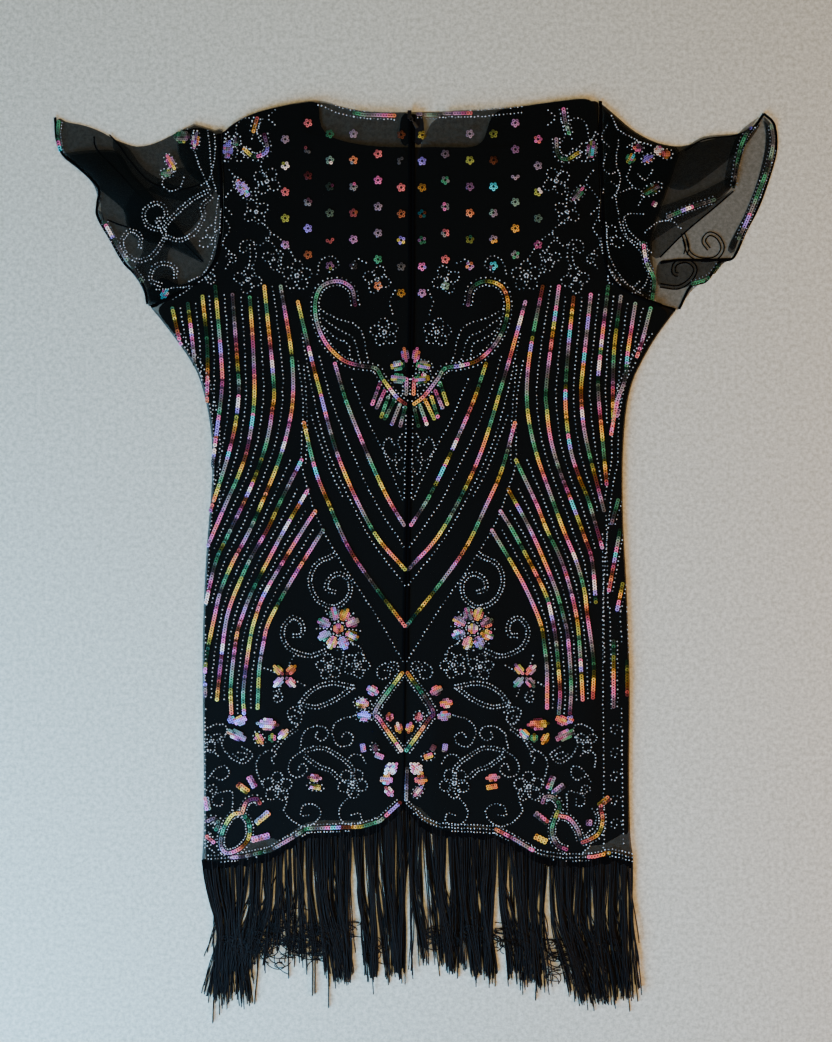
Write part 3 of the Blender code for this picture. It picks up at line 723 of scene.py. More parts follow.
# bead curves: points of (distance out, y); those of the yoke have wider steps
yokeVines = [
    [(165, 434), (165, 422), (159, 412)],
    [(170, 388), (172, 400), (160, 406)],
    [(168, 365), (155, 351), (167, 337), (177, 343), (187, 341), (189, 332), (183, 329),
     (181, 335)],
    [(173, 338), (171, 324), (175, 312)], [(178, 338), (177, 324), (180, 312)],
    [(155, 351), (145, 345), (137, 336), (128, 322)],
    [(160, 345), (150, 335), (143, 318), (146, 308)],
    [(176, 455), (172, 470), (182, 478), (192, 470), (196, 452), (204, 462), (206, 430)],
    [(200, 420), (192, 408), (200, 396), (207, 384), (198, 372)],
    [(208, 372), (200, 356), (208, 340), (198, 326), (204, 312)],
    [(214, 318), (222, 306), (236, 296), (250, 286), (262, 278)],
    [(90, 308), (80, 316), (88, 326), (100, 320), (104, 306)],
    [(150, 470), (158, 478), (150, 486)], [(166, 452), (170, 464), (164, 476)],
    [(20, 262), (24, 276), (18, 288)], [(66, 312), (60, 322), (50, 318)],
]
lowVines = [
    [(114, -215), (111, -200), (101, -192), (88, -192), (83, -200), (90, -207), (98, -203),
     (95, -198)],
    [(111, -218), (123, -227), (127, -239), (120, -247), (110, -245), (106, -237), (112, -232),
     (116, -239)],
    [(143, -232), (146, -227), (140, -222), (148, -218), (157, -223), (162, -232), (160, -245),
     (155, -255)],
    [(136, -260), (128, -273), (131, -284), (123, -295), (107, -302), (94, -294), (91, -284),
     (99, -277), (110, -279), (113, -289), (104, -289)],
    [(55, -253), (57, -266), (65, -274), (71, -287), (65, -298), (52, -300), (46, -294),
     (49, -287), (57, -289)],
    [(188, -287), (188, -265), (196, -263), (209, -268), (209, -277), (200, -279), (199, -271)],
    [(219, -195), (209, -190), (198, -190), (195, -198), (204, -206), (216, -206)],
    [(217, -252), (207, -239), (196, -235), (192, -244), (199, -250), (209, -247)],
    [(53, -179), (72, -185), (79, -198), (72, -213), (59, -211), (56, -202), (64, -198),
     (68, -203)],
    [(178, -214), (166, -222), (176, -232), (190, -226), (200, -212), (196, -200)],
    [(182, -220), (172, -222), (178, -228), (188, -222)],
    [(42, -232), (47, -224), (56, -222), (62, -229)],
    [(220, -282), (224, -292), (220, -304), (212, -310), (218, -320), (208, -330)],
    [(204, -224), (212, -218), (222, -222), (222, -236)],
    [(16, 118), (22, 126), (28, 118), (24, 106), (16, 100), (14, 108)],
    [(8, 104), (14, 96), (10, 86), (5, 92)], [(8, 130), (12, 122), (9, 112)],
    [(117, -190), (126, -184), (128, -174), (118, -170), (110, -176)],
    [(58, -100), (48, -106), (46, -116)], [(72, -104), (68, -112), (70, -120)],
    [(22, -122), (30, -128), (28, -138), (18, -138), (16, -130), (22, -130)],
]
doubleVines = [
    [(80, -3), (100, -14), (106, -34), (96, -54), (78, -60), (64, -50), (62, -34), (72, -24),
     (84, -28), (88, -40), (78, -44)],
    [(88, -108), (104, -114), (124, -108), (134, -96), (134, -82), (124, -72), (114, -78),
     (114, -90), (123, -92)],
    [(115, -167), (102, -152), (82, -144), (56, -148)],
    [(115, -167), (96, -170), (76, -162), (56, -148)],
    [(109, -218), (90, -215), (72, -224), (57, -237), (56, -252)],
    [(109, -224), (94, -235), (81, -240), (72, -248)],
    [(143, -218), (132, -204), (118, -194)],
]
# distance out, y, radius, loops, turn, bead pitch
cloversAt = [
    (159, 408, 7.5, 4, 30, 4.2), (171, 374, 7.0, 4, 60, 4.2), (180, 300, 7.5, 4, 10, 4.2),
    (126, 304, 8.0, 5, 20, 4.2), (38, 300, 7.5, 4, 20, 4.2), (29, 242, 7.5, 5, 10, 4.2),
    (220, 345, 7.0, 3, 90, 4.2), (186, 440, 5.5, 3, 60, 4.2), (152, 322, 6.0, 3, 20, 4.2),
    (139, -258, 8.0, 5, 20, 3.2), (56, -254, 8.0, 5, 50, 3.2), (83, -126, 7.0, 5, 10, 3.4),
    (53, -124, 7.0, 5, 40, 3.4), (212, -208, 6.0, 3, 30, 3.4),
]
curls = [(12, -126, 7, 0, 1.2), (120, -183, 9, 90, 1.2), (198, 322, 7, 30, 1.2),
         (210, -262, 7, 0, 1.2), (222, 300, 7, 120, 1.1), (140, -160, 8, 60, 1.2)]
# petals of overlapped sequins: distance out, y, length, width, angle, hue
petalsAt = [
    (180, -185, 17, 9, -25, "rose"), (150, -189, 24, 13, 5, "rose"),
    (184, -201, 26, 10, 25, "mauve"), (159, -205, 13, 8, 60, "coral"),
    (145, -204, 9, 8, 90, "green"), (133, -200, 14, 8, -45, "orange_gold"),
    (190, -184, 9, 7, 60, "violet"), (44, -180, 17, 9, 5, "violet"),
    (16, -181, 9, 8, 80, "rose"), (6, -193, 12, 8, 75, "gold"), (35, -152, 16, 9, 30, "pink"),
    (46, -166, 16, 9, 8, "rose"), (98, -248, 15, 7, 5, "coral"), (97, -258, 15, 6, 10, "gold"),
    (45, -215, 12, 5, 80, "violet"),
    (32, -215, 9, 5, 60, "plum"), (27, -224, 12, 6, 20, "coral"),
    (14, -238, 18, 12, -40, "white"), (19, -250, 16, 9, 5, "rose"), (16, -263, 13, 8, 50, "mauve"),
    (14, 205, 18, 10, -10, "green"), (13, 191, 19, 11, 5, "sage"), (6, 217, 16, 8, 80, "pink"),
]
# the same on one side only: x, y and the rest in the row frame
shoulderPetals = [
    (-207, 443, 24, 9, 85, "violet"), (-191, 400, 26, 9, -52, "violet"),
    (193, 443, 22, 9, 82, "lilac_grey"), (178, 394, 18, 8, 50, "lilac_grey"),
    (-198, 452, 12, 6, 80, "sage"),
]
# hooks, eggs and short bars of sequins near the hem: x and y in the row frame
cornerRows = [
    [(-172, -276), (-176, -271), (-186, -274), (-190, -282), (-192, -287), (-202, -289),
     (-212, -305), (-215, -322), (-208, -331), (-194, -326), (-184, -314), (-184, -297),
     (-192, -287)],
    [(-231, -297), (-223, -293), (-217, -298), (-220, -305)], [(-230, -313), (-223, -319)],
    [(139, -275), (142, -269), (151, -270), (158, -279), (154, -289), (149, -306), (154, -321),
     (165, -327)],
    [(158, -290), (168, -293), (177, -304), (181, -316)],
    [(203, -282), (205, -295), (201, -309), (191, -316), (183, -319)],
]
cornerBars = [
    (-183, -248, -178, -257), (-195, -256, -186, -263), (-163, -287, -175, -297),
    (-163, -312, -179, -316), (-231, -271, -229, -282), (150, -248, 146, -259),
    (161, -257, 152, -264), (132, -288, 143, -297), (132, -313, 142, -318),
    (211, -271, 202, -278), (190, -296, 190, -299),
]
shoulderRows = [
    [(-189, 443), (-178, 435), (-164, 441), (-167, 459)],
    [(154, 454), (156, 437), (166, 432), (178, 439)],
    [(-175, 477), (-179, 463)], [(162, 487), (164, 474), (168, 461)],
]
looseRows = [
    [(3, -133), (31, -173), (26, -185), (3, -218)],
    [(4, 190), (4, 174)],
]
bigFlower = {"out": 74, "y": -84, "petals": 8, "reach": 17, "length": 17, "width": 9.5}
spray = {"out": 132, "y": -136, "petals": 4, "reach": 9.5, "length": 14, "width": 8}
petalHues = ["rose", "orange_gold", "mauve", "pink", "lilac_grey", "coral", "violet", "gold"]


def angleOn(side, angle):
    return angle if side > 0 else 180 - angle


for side in (-1, 1):
    for path in yokeVines:
        beadRow(toSide(path, side), beads["widePitch"])
    for path in lowVines:
        beadRow(toSide(path, side), beads["vinePitch"])
    for path in doubleVines:
        for shift in (1.9, -1.9):
            beadRow(toSide(path, side), beads["vinePitch"], shift=shift)
    for out, y, radius, count, turn, pitch in cloversAt:
        clover(*place(out, y, side), radius, count, angleOn(side, turn), pitch)
    for out, y, radius, begin, turns in curls:
        beadRow(toSide(spiral(out, y, radius, begin, turns), side), beads["vinePitch"])
    for out, y, length, width, angle, hue in petalsAt:
        petal(*place(out, y, side), length, width, angleOn(side, angle), hue,
              outline=dice.random() < 0.35)
    for group, turn in ((bigFlower, 22), (spray, 45)):
        x, y = place(group["out"], group["y"], side)
        for k in range(group["petals"]):
            angle = math.radians(turn + 360 * k / group["petals"] + dice.normal(0, 4))
            petal(x + group["reach"] * math.cos(angle), y + group["reach"] * math.sin(angle),
                  group["length"], group["width"], math.degrees(angle), petalHues[k],
                  outline=False)
            beadRow([(x + r * math.cos(angle + 0.39), y + r * math.sin(angle + 0.39))
                     for r in (8, 24)], beads["vinePitch"])
    petal(*place(bigFlower["out"], bigFlower["y"], side), 12, 11, 90, "orange_gold")
    for path in looseRows:
        sequinRow(toSide(path, side), dice.uniform(5, 10), paintedFlashes=0.04)
        for shift in (4.2, -4.2):
            beadRow(toSide(path, side), beads["vinePitch"], shift=shift)
for row in shoulderPetals:
    petal(*row)
for row in shoulderRows:
    sequinRow(row, dice.uniform(5, 9), paintedFlashes=0.06)
    for shift in (4.0, -4.0):
        beadRow(row, beads["widePitch"], shift=shift)
for row in cornerRows:
    sequinRow(row, dice.uniform(4, 9), paintedFlashes=0.03)
    for shift in (4.0, -4.0):
        beadRow(row, beads["vinePitch"], shift=shift)
for x1, y1, x2, y2 in cornerBars:
    for shift in (-1.4, 1.4):
        bar = offsetPath(np.array([(x1, y1), (x2, y2)], float), shift)
        sequinRow(bar, dice.uniform(4, 9), paintedGleam=0.55)
# a grey row painted dim, with no painted highlights
sequinRow([(-10, -238), (-11, -272)], hueNumber["grey"], paintedFlashes=0.0, paintedGleam=0.25, last=5)

trims = {"inset": 4.0, "pitch": 3.4, "neckPitch": 4.0}
# stretches of the hem and neck edges in x: those of sequins between two bead rows, with the
# first hue, and those of bead rows alone
hemSequins = [(-203, -18, 6), (88, 128, 8), (190, 212, 6)]
hemBeads = [(-236, -203), (-10, 88), (128, 190), (212, 238)]
neckSequins = [(-68, -24, 0), (2, 60, hueNumber["mauve"])]
neckBeads = [(-108, -68), (60, 116)]


def edgeRow(line, low, high, shift, count):
    # points along an edge line, moved up by shift
    return [(x, along(line, x) + shift) for x in np.linspace(low, high, count)]


def trimRow(points, start, spacing):
    sequinRow(points, start, paintedGleam=0.45)
    for shift in (spacing, -spacing):
        beadRow(points, trims["pitch"], shift=shift)


print("stage: trims")
for low, high, hue in hemSequins:
    trimRow(edgeRow(hemLine, low, high, trims["inset"], 90), hue, 4.3)
for low, high in hemBeads:
    for shift in (0, 4, 8):
        beadRow(edgeRow(hemLine, low, high, shift, 40), trims["pitch"])
for low, high, hue in neckSequins:
    trimRow(edgeRow(shoulderLine, low, high, -trims["inset"], 20), hue, 4.0)
for low, high in neckBeads:
    for shift in (-1, -8):
        beadRow(edgeRow(shoulderLine, low, high, shift, 20), trims["neckPitch"])

# sleeve rows: points in the row frame, from the tip down
sleeveTrims = [
    [(-394, 474), (-395, 458), (-392, 440)], [(-343, 362), (-334, 346), (-319, 322)],
    [(-312, 312), (-302, 298)],
    [(380, 480), (366, 464), (358, 448), (354, 430), (350, 404)],
    [(328, 388), (301, 379), (277, 369)],
    [(250, 340), (254, 318), (262, 300), (260, 278)],
    [(392, 470), (394, 452), (388, 425), (378, 398), (366, 368), (356, 346)],
    [(334, 316), (322, 302), (305, 296)],
]
sleeveVines = [
    [(-212, 394), (-215, 376), (-216, 355), (-215, 340), (-220, 325), (-227, 309), (-245, 294),
     (-266, 291), (-286, 289)],
    [(-217, 392), (-220, 372), (-221, 352), (-221, 338), (-226, 322), (-234, 306), (-250, 298)],
    [(-245, 471), (-244, 443), (-235, 417), (-227, 399)],
    [(-230, 468), (-227, 443), (-225, 417), (-220, 397)],
    [(-222, 463), (-221, 438), (-227, 412), (-236, 404)], [(-252, 466), (-236, 470), (-222, 462)],
    [(-274, 417), (-279, 404), (-268, 397), (-258, 404), (-256, 412)],
    [(203, 362), (206, 325), (220, 299), (237, 285), (252, 294), (257, 313)],
    [(209, 362), (212, 328), (224, 305), (237, 292), (246, 298)],
    [(223, 367), (228, 350), (240, 338), (255, 323)],
    [(229, 369), (234, 354), (245, 343), (259, 330)],
    [(223, 453), (220, 428), (225, 411), (220, 391), (223, 372)],
    [(209, 438), (206, 423), (213, 416), (222, 420)], [(206, 399), (201, 372), (206, 352)],
    [(250, 372), (233, 372), (228, 362), (233, 347), (247, 338)],
    [(225, 396), (240, 401), (250, 394), (245, 382)],
    [(215, 480), (222, 466), (234, 458), (246, 452)], [(232, 446), (244, 452), (258, 448)],
    [(260, 420), (252, 410), (244, 416)], [(210, 470), (204, 456), (212, 446)],
    [(236, 424), (232, 412), (238, 404)], [(215, 408), (222, 400), (216, 390)],
    [(252, 352), (264, 362), (279, 365), (292, 357)],
]
sleeveDoubleVines = [
    [(-230, 397), (-245, 389), (-261, 376), (-271, 366), (-281, 355), (-297, 361), (-299, 376),
     (-286, 384), (-277, 379), (-276, 368), (-285, 366)],
    [(-276, 348), (-261, 343), (-245, 350), (-234, 368), (-235, 381), (-225, 391)],
    [(-286, 366), (-277, 350), (-281, 338), (-292, 325), (-307, 321), (-320, 330), (-324, 343),
     (-315, 354), (-304, 348), (-304, 335)],
    [(-265, 302), (-266, 314), (-279, 318), (-290, 312), (-292, 299), (-281, 294)],
]
sleevePetals = [(-270, 429, 18, 7, -60, "rose"), (-274, 417, 12, 7, 10, "green"),
                (-258, 458, 20, 16, 0, "green"), (-243, 453, 18, 7, 80, "coral"),
                (-277, 284, 12, 8, 60, "cyan"), (236, 433, 14, 9, 60, "green"),
                (244, 445, 10, 8, 0, "plum"), (255, 433, 12, 7, 30, "violet"),
                (267, 442, 12, 9, 0, "white"), (275, 438, 10, 9, 0, "rose"),
                (259, 399, 22, 9, 30, "green"), (262, 383, 7, 5, 60, "white")]
# sleeve rows are painted dark: a low painted light level, and most of their beads in the
# painted-shade glass
for path in sleeveTrims:
    sequinRow(path, dice.uniform(0, 3), paintedFlashes=0.05, paintedGleam=0.3, last=4)
    beadRow(path, beads["vinePitch"], shift=3.6, paintedShadeShare=0.85)
    beadRow(path, beads["widePitch"], shift=-3.6, paintedShadeShare=0.95)
for path in sleeveVines:
    beadRow(path, beads["vinePitch"])
for path in sleeveDoubleVines:
    for shift in (1.8, -1.8):
        beadRow(path, beads["vinePitch"], shift=shift)
for row in sleevePetals:
    petal(*row, outline=dice.random() < 0.5)

# sequin bars and bead rows of the front panel that show on the rolled strip
stripBars = [[(222, 57), (215, 32)], [(224, 24), (212, -42)], [(227, -35), (221, -63)],
             [(217, -98), (217, -170)], [(232, -120), (232, -157)]]
stripBeads = [(232, -60, -110), (224, -60, -98), (226, -172, -320), (213, -62, -172),
              (209, 40, -60), (205, 20, -120)]
stripRings = (-196, -222, -248, -274, -300)
# their sequins are painted dim: a low painted light level
for line in stripBars:
    sequinRow(line, dice.uniform(0, 3), paintedGleam=0.3)
    beadRow(line, shift=4.4)
for x, top, low in stripBeads:
    beadRow([(x, top), (x + 2, low)], 5.0)
for y in stripRings:
    beadRow(spiral(219, y, 8, 0, 1.0), 4.0)


def stamp(name, shape, places, materials):
    # one mesh of many copies of a small shape, each in its own frame
    points, faces = shape
    centres = np.array([p[0] for p in places])
    axes = np.array([p[1] for p in places])
    sizes = np.array([p[2] for p in places])
    marks = np.array([p[3] for p in places])
    spread = np.einsum("nij,vj->nvi", axes, points) * sizes[:, None, None] + centres[:, None, :]
    index = faces[None] + (np.arange(len(places)) * len(points))[:, None, None]
    return newObject(name, spread.reshape(-1, 3), index.reshape(-1, faces.shape[1]), materials,
                     np.repeat(marks, len(faces)))


armholeFoot = 266.0  # y below which there is no sleeve


def regionOf(x, y):
    # which cloth the beadwork at a place is sewn to
    if y > armholeFoot and x < along(leftSide, y):
        return "sleeve_left"
    if y > armholeFoot and x > along(rightSide, y):
        return "sleeve_right"
    if x > sideX(1, y):
        return "strip"
    return "left" if x < zipX(y) else "right"


beadwork = {}
for region in ("left", "right", "sleeve_left", "sleeve_right", "strip"):
    for kind, shape, places, materials in (("sequins_", sequinShape, sequinPlaces, foilMaterials),
                                           ("beads_", beadShape, beadPlaces,
                                            [beadGlass, paintedShadeGlass])):
        chosen = [p for p in places if regionOf(*p[0][:2]) == region]
        beadwork[kind + region] = stamp(kind + region, shape, chosen, materials)
print("sequins", len(sequinPlaces), "beads", len(beadPlaces))

# locks of threads: where each starts on the hem, how it draws in half way down and where
# its ends lie, each as left and right x, with the y of the ends
Lock = namedtuple("Lock", "topLeft topRight midLeft midRight tipLeft tipRight tipY")
locks = [Lock(*row) for row in [
    (-236, -214, -220, -206, -229, -203, -492), (-214, -190, -206, -194, -214, -181, -494),
    (-190, -170, -191, -176, -223, -187, -465), (-170, -154, -170, -159, -209, -170, -457),
    (-154, -137, -154, -139, -161, -128, -435), (-137, -115, -130, -118, -137, -104, -448),
    (-115, -90, -110, -91, -104, -79, -470), (-90, -71, -88, -71, -88, -65, -465),
    (-71, -58, -64, -55, -58, -42, -466), (-58, -42, -53, -44, -49, -33, -468),
    (-42, -22, -36, -25, -29, -16, -461), (-22, -5, -19, -8, -18, -6, -464),
    (-5, 7, -5, 6, 4, 13, -449), (7, 34, 13, 31, 22, 44, -454), (34, 50, 33, 48, 37, 57, -459),
    (50, 68, 52, 68, 59, 74, -466), (68, 89, 70, 85, 72, 88, -468),
    (89, 101, 90, 97, 101, 112, -466), (101, 123, 103, 125, 108, 136, -472),
    (123, 145, 123, 141, 129, 149, -478), (145, 158, 149, 160, 165, 184, -483),
    (158, 176, 161, 171, 180, 202, -494), (176, 193, 176, 193, 191, 215, -496),
    (193, 213, 191, 213, 198, 226, -492), (213, 239, 213, 236, 220, 247, -490),
]]
fringe = {"perMm": 1.45, "radius": 0.7, "rings": 22, "strays": 0.02, "header": 8.0,
          "tuft": 6.0, "cling": 0.62, "sway": 0.55, "wave": 1.5, "draw": 1.5, "short": 0.25,
          "ragged": 2}
tangling = {"threads": 9, "wide": 1.25, "flat": 0.75}
# tangles: x, y, how wide
tangles = [(-200, -425, 13), (-192, -440, 14), (-180, -430, 18), (-168, -432, 18),
           (-159, -425, 18), (-145, -418, 22), (-140, -440, 20), (-128, -430, 20),
           (-117, -420, 18), (-150, -405, 18), (-100, -415, 16), (-75, -412, 14),
           (15, -421, 12), (26, -426, 14), (60, -415, 12), (92, -421, 14), (103, -432, 16),
           (114, -426, 14), (147, -437, 14), (158, -443, 18), (169, -454, 16),
           (-108, -443, 12), (-46, -437, 10), (205, -440, 14)]
# single threads that hang out below the rest: x at the hem, x and y of the end
strays = [(-222, -224, -519), (-168, -178, -498), (-120, -114, -489), (-118, -111, -487),
          (-104, -96, -502), (130, 132, -494), (170, 176, -492), (-150, -140, -470),
          (40, 46, -470)]
rayon, tree, shader = newMaterial("rayon_fringe", "#030404", Roughness=0.5,
                                  Specular_IOR_Level=0.14)
# twisted rayon thread: black with a dull line of light along each strand
weave(tree, shader, 0.6, 0.05, "ShaderNodeTexNoise")


def fringeStrands(base, height):
    # points (strand, ring, xyz) of one layer of threads
    rows = []
    for lock in locks:
        # threads of a lock cling together in tufts that wander from side to side
        width = lock.topRight - lock.topLeft
        tufts = max(int(width / fringe["tuft"]), 1)
        sway = dice.normal(0, fringe["sway"] / tufts, (tufts, 2))
        for _ in range(int(width * fringe["perMm"])):
            share = dice.random()
            tuft = min(int(share * tufts), tufts - 1)
            centre = (tuft + 0.5) / tufts
            drawn = centre + (share - centre) * fringe["cling"]
            top = lock.topLeft + width * share
            middle = lock.midLeft + (lock.midRight - lock.midLeft) * (
                drawn + sway[tuft, 0] + dice.normal(0, 0.04))
            tip = lock.tipLeft + (lock.tipRight - lock.tipLeft) * (
                drawn + sway[tuft, 1] + dice.normal(0, 0.13))
            end = lock.tipY + dice.normal(4, 7)
            if dice.random() < fringe["short"]:
                end += dice.uniform(5, 50)
            if dice.random() < fringe["strays"]:
                end -= dice.uniform(4, 12)
            rows.append((top, middle, tip, end, dice.random(), dice.uniform(0, 6.28)))
    rows += [(top, (top + tip) / 2, tip, end, 0.2, 1.0) for top, tip, end in strays]
    top, middle, tip, end, level, phase = (np.array(column)[:, None] for column in zip(*rows))
    share = np.linspace(0, 1, fringe["rings"])[None, :]
    start = along(hemLine, top) + 3
    first = top + (middle - top) * (share / 0.5) ** fringe["draw"]
    ease = np.clip((share - 0.5) / 0.5, 0, 1)
    x = np.where(share < 0.5, first, middle + (tip - middle) * ease)
    sway = np.sin(share * 9 + phase) + 0.6 * np.sin(share * 23 + 3 * phase)
    x = x + sway * fringe["wave"] * share
    blur = np.apply_along_axis(lambda row: np.convolve(np.pad(row, 2, "edge"),
                                                       np.ones(5) / 5, "valid"), 1, x)
    x = np.concatenate([x[:, :1], blur[:, 1:]], axis=1)
    y = start + (end - start) * share
    z = base + (0.1 + 0.7 * level) * height + np.sin(share * 12 + phase) * height * 0.15
    return np.stack([x, y, z], axis=2)


def tangleStrands(base, height):
    # loose threads that loop back on themselves near the ends
    lines = []
    for x, y, width in tangles:
        for _ in range(tangling["threads"]):
            turn = dice.uniform(0.4, 1.1) * dice.choice([-1, 1])
            begin = dice.uniform(0, 6.28)
            share = np.linspace(0, 1, fringe["rings"])
            angle = begin + share * turn * 2 * math.pi
            radius = dice.uniform(5, width * 0.8) * (1 - 0.4 * share)
            cx = x + width * (dice.uniform(-0.7, 0.7) + share * dice.uniform(-1, 1))
            cy = y + dice.uniform(-10, 10) + share * dice.uniform(-16, 8)
            lines.append(np.column_stack([
                cx + tangling["wide"] * radius * np.cos(angle),
                cy + tangling["flat"] * radius * np.sin(angle),
                base + height * (0.5 + 0.4 * np.sin(angle * 1.3))]))
    return np.array(lines)


def tubeMesh(lines, radius):
    # three-sided tubes along lines of equal point count
    count, rings = lines.shape[:2]
    run = np.gradient(lines, axis=1)
    run /= np.maximum(np.linalg.norm(run, axis=2), tiny)[..., None]
    across = np.stack([-run[..., 1], run[..., 0], 0 * run[..., 0]], axis=2)
    across /= np.maximum(np.linalg.norm(across, axis=2), tiny)[..., None]
    above = np.cross(run, across)
    points = []
    for k in range(3):
        angle = 2 * math.pi * k / 3 + math.pi / 2
        points.append(lines + radius * (math.cos(angle) * across + math.sin(angle) * above))
    points = np.stack(points, axis=2).reshape(-1, 3)
    strand = np.arange(count)[:, None, None] * rings * 3
    ring = np.arange(rings - 1)[None, :, None] * 3
    k = np.arange(3)[None, None, :]
    a, b = strand + ring + k, strand + ring + (k + 1) % 3
    return points, np.stack([a, b, b + 3, a + 3], axis=3).reshape(-1, 4)


def headerMesh(base):
    # the braid that the threads hang from, with a ragged lower edge
    xs = np.linspace(-235, 237, 240)
    upper = along(hemLine, xs) + 1
    lower = upper - fringe["header"] - dice.uniform(-fringe["ragged"], fringe["ragged"], len(xs))
    points = np.concatenate([np.column_stack([xs, upper, 0 * xs + base]),
                             np.column_stack([xs, lower, 0 * xs + base])])
    k = np.arange(len(xs) - 1)
    return points, np.column_stack([k + len(xs), k + len(xs) + 1, k + 1, k])


def merged(parts):
    # several (points, faces) as one
    points, faces, start = [], [], 0
    for found, index in parts:
        points.append(found)
        faces.append(index + start)
        start += len(found)
    return np.concatenate(points), np.concatenate(faces)


print("stage: fringe")
fringes = {}
for layer, base, height in (("front", 0.5, 1.8), ("back", 2.9, 1.8)):
    parts = [headerMesh(base + height), tubeMesh(fringeStrands(base, height), fringe["radius"])]
    if layer == "back":
        parts.append(tubeMesh(tangleStrands(base, height), fringe["radius"] * 0.9))
    points, faces = merged(parts)
    slots = np.ones(len(faces), int)
    slots[:len(parts[0][1])] = 0
    fringes[layer] = newObject("fringe_threads_" + layer, points, faces, [seamThread, rayon], slots)

zipper = {"ridge": 1.9, "height": 0.6, "gap": 1.9, "end": -120}
# height of a seam or pleat that starts beside the cloth
offCloth = {"seam": 2.0, "pleat": 3.0}
zipMetal, tree, shader = newMaterial("black_lacquered_zinc", "#1a1b1d", Metallic=0.7,
                                     Roughness=0.35)
# painted zip slider: dark, with a soft metal glint on its edges
weave(tree, shader, 2.0, 0.02, "ShaderNodeTexNoise")


def rib(path, width, height):
    # a rolled seam: a half-round strip that lies on the cloth along a path
    path = smoothPath(path, 3.0)
    profile = np.linspace(0, math.pi, 6)
    points, faces, z = [], [], offCloth["seam"]
    for row, ((x, y), way) in enumerate(zip(path, headings(path))):
        # it sits on the higher of the cloths that it joins
        near = [seat(x - way[1] * reach, y + way[0] * reach) for reach in (-width, 0, width)]
        z = max([found[0] for found in near if found] or [z])
        for angle in profile:
            reach = -width * math.cos(angle)
            points.append((x - way[1] * reach, y + way[0] * reach,
                           z + 0.1 + height * math.sin(angle)))
        if row:
            for k in range(len(profile) - 1):
                a = (row - 1) * len(profile) + k
                faces.append((a, a + 1, a + len(profile) + 1, a + len(profile)))
    return np.array(points), np.array(faces)


zipSides = [[(zipX(y) + side * zipper["gap"], y) for y in np.linspace(483, zipper["end"], 60)]
            for side in (-1, 1)]
backSeam = [(zipX(y), y) for y in np.linspace(zipper["end"], -276, 30)]
armholes = [
    [(-217, 461), (-216, 432), (-214, 388), (-215, 350), (-223, 317), (-239, 298), (-264, 283),
     (-292, 270)],
    [(203, 497), (203, 450), (205, 390), (206, 350), (209, 317), (217, 298), (240, 283),
     (262, 274), (286, 267)],
]
sleeveHems = [
    [(-398, 479), (-396, 455), (-389, 438), (-370, 422), (-350, 401), (-351, 385), (-351, 370),
     (-337, 345), (-322, 319), (-309, 306), (-300, 292), (-296, 273)],
    [(383, 483), (363, 452), (354, 425), (350, 401)],
    [(383, 483), (393, 474), (397, 460), (396, 438), (386, 404), (376, 378), (363, 353),
     (350, 325), (335, 320), (320, 299), (303, 293), (290, 268)],
    [(269, 319), (289, 322), (318, 322), (347, 323)],
]
ribs = {
    "zip_ridges": [rib(path, zipper["ridge"], zipper["height"]) for path in zipSides],
    "back_seam": [rib(backSeam, 1.2, 0.7)],
    "armhole_seams": [rib(path, 1.9, 0.7) for path in armholes],
    "sleeve_hems": [rib(path, 1.5, 0.8) for path in sleeveHems],
}
seams = [newObject(name, *merged(parts), [seamThread]) for name, parts in ribs.items()]

# edge rounding of the zip's metal, in mm
zipRounding = {"zip_slider": 0.5, "zip_pull": 0.22}


def rounded(name):
    # a softened copy of one of the zip's solids, with its edges rolled
    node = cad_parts[name]
    bm = bmesh.new()
    bm.from_mesh(node.data)
    bm.transform(node.matrix_world)
    bmesh.ops.remove_doubles(bm, verts=bm.verts, dist=0.001 * mm)
    bmesh.ops.dissolve_limit(bm, angle_limit=0.02, verts=bm.verts, edges=bm.edges)
    sharp = [e for e in bm.edges if len(e.link_faces) == 2 and e.calc_face_angle() > 0.5]
    bmesh.ops.bevel(bm, geom=sharp, offset=zipRounding[name] * mm, segments=4, profile=0.5,
                    affect="EDGES", clamp_overlap=True)
    mesh = bpy.data.meshes.new(name + "_rounded")
    bm.to_mesh(mesh)
    bm.free()
    mesh.materials.append(zipMetal)
    mesh.polygons.foreach_set("use_smooth", np.full(len(mesh.polygons), True))
    made = bpy.data.objects.new(name + "_rounded", mesh)
    bpy.context.scene.collection.objects.link(made)
    return made


slider = rounded("zip_slider")
pull = rounded("zip_pull")

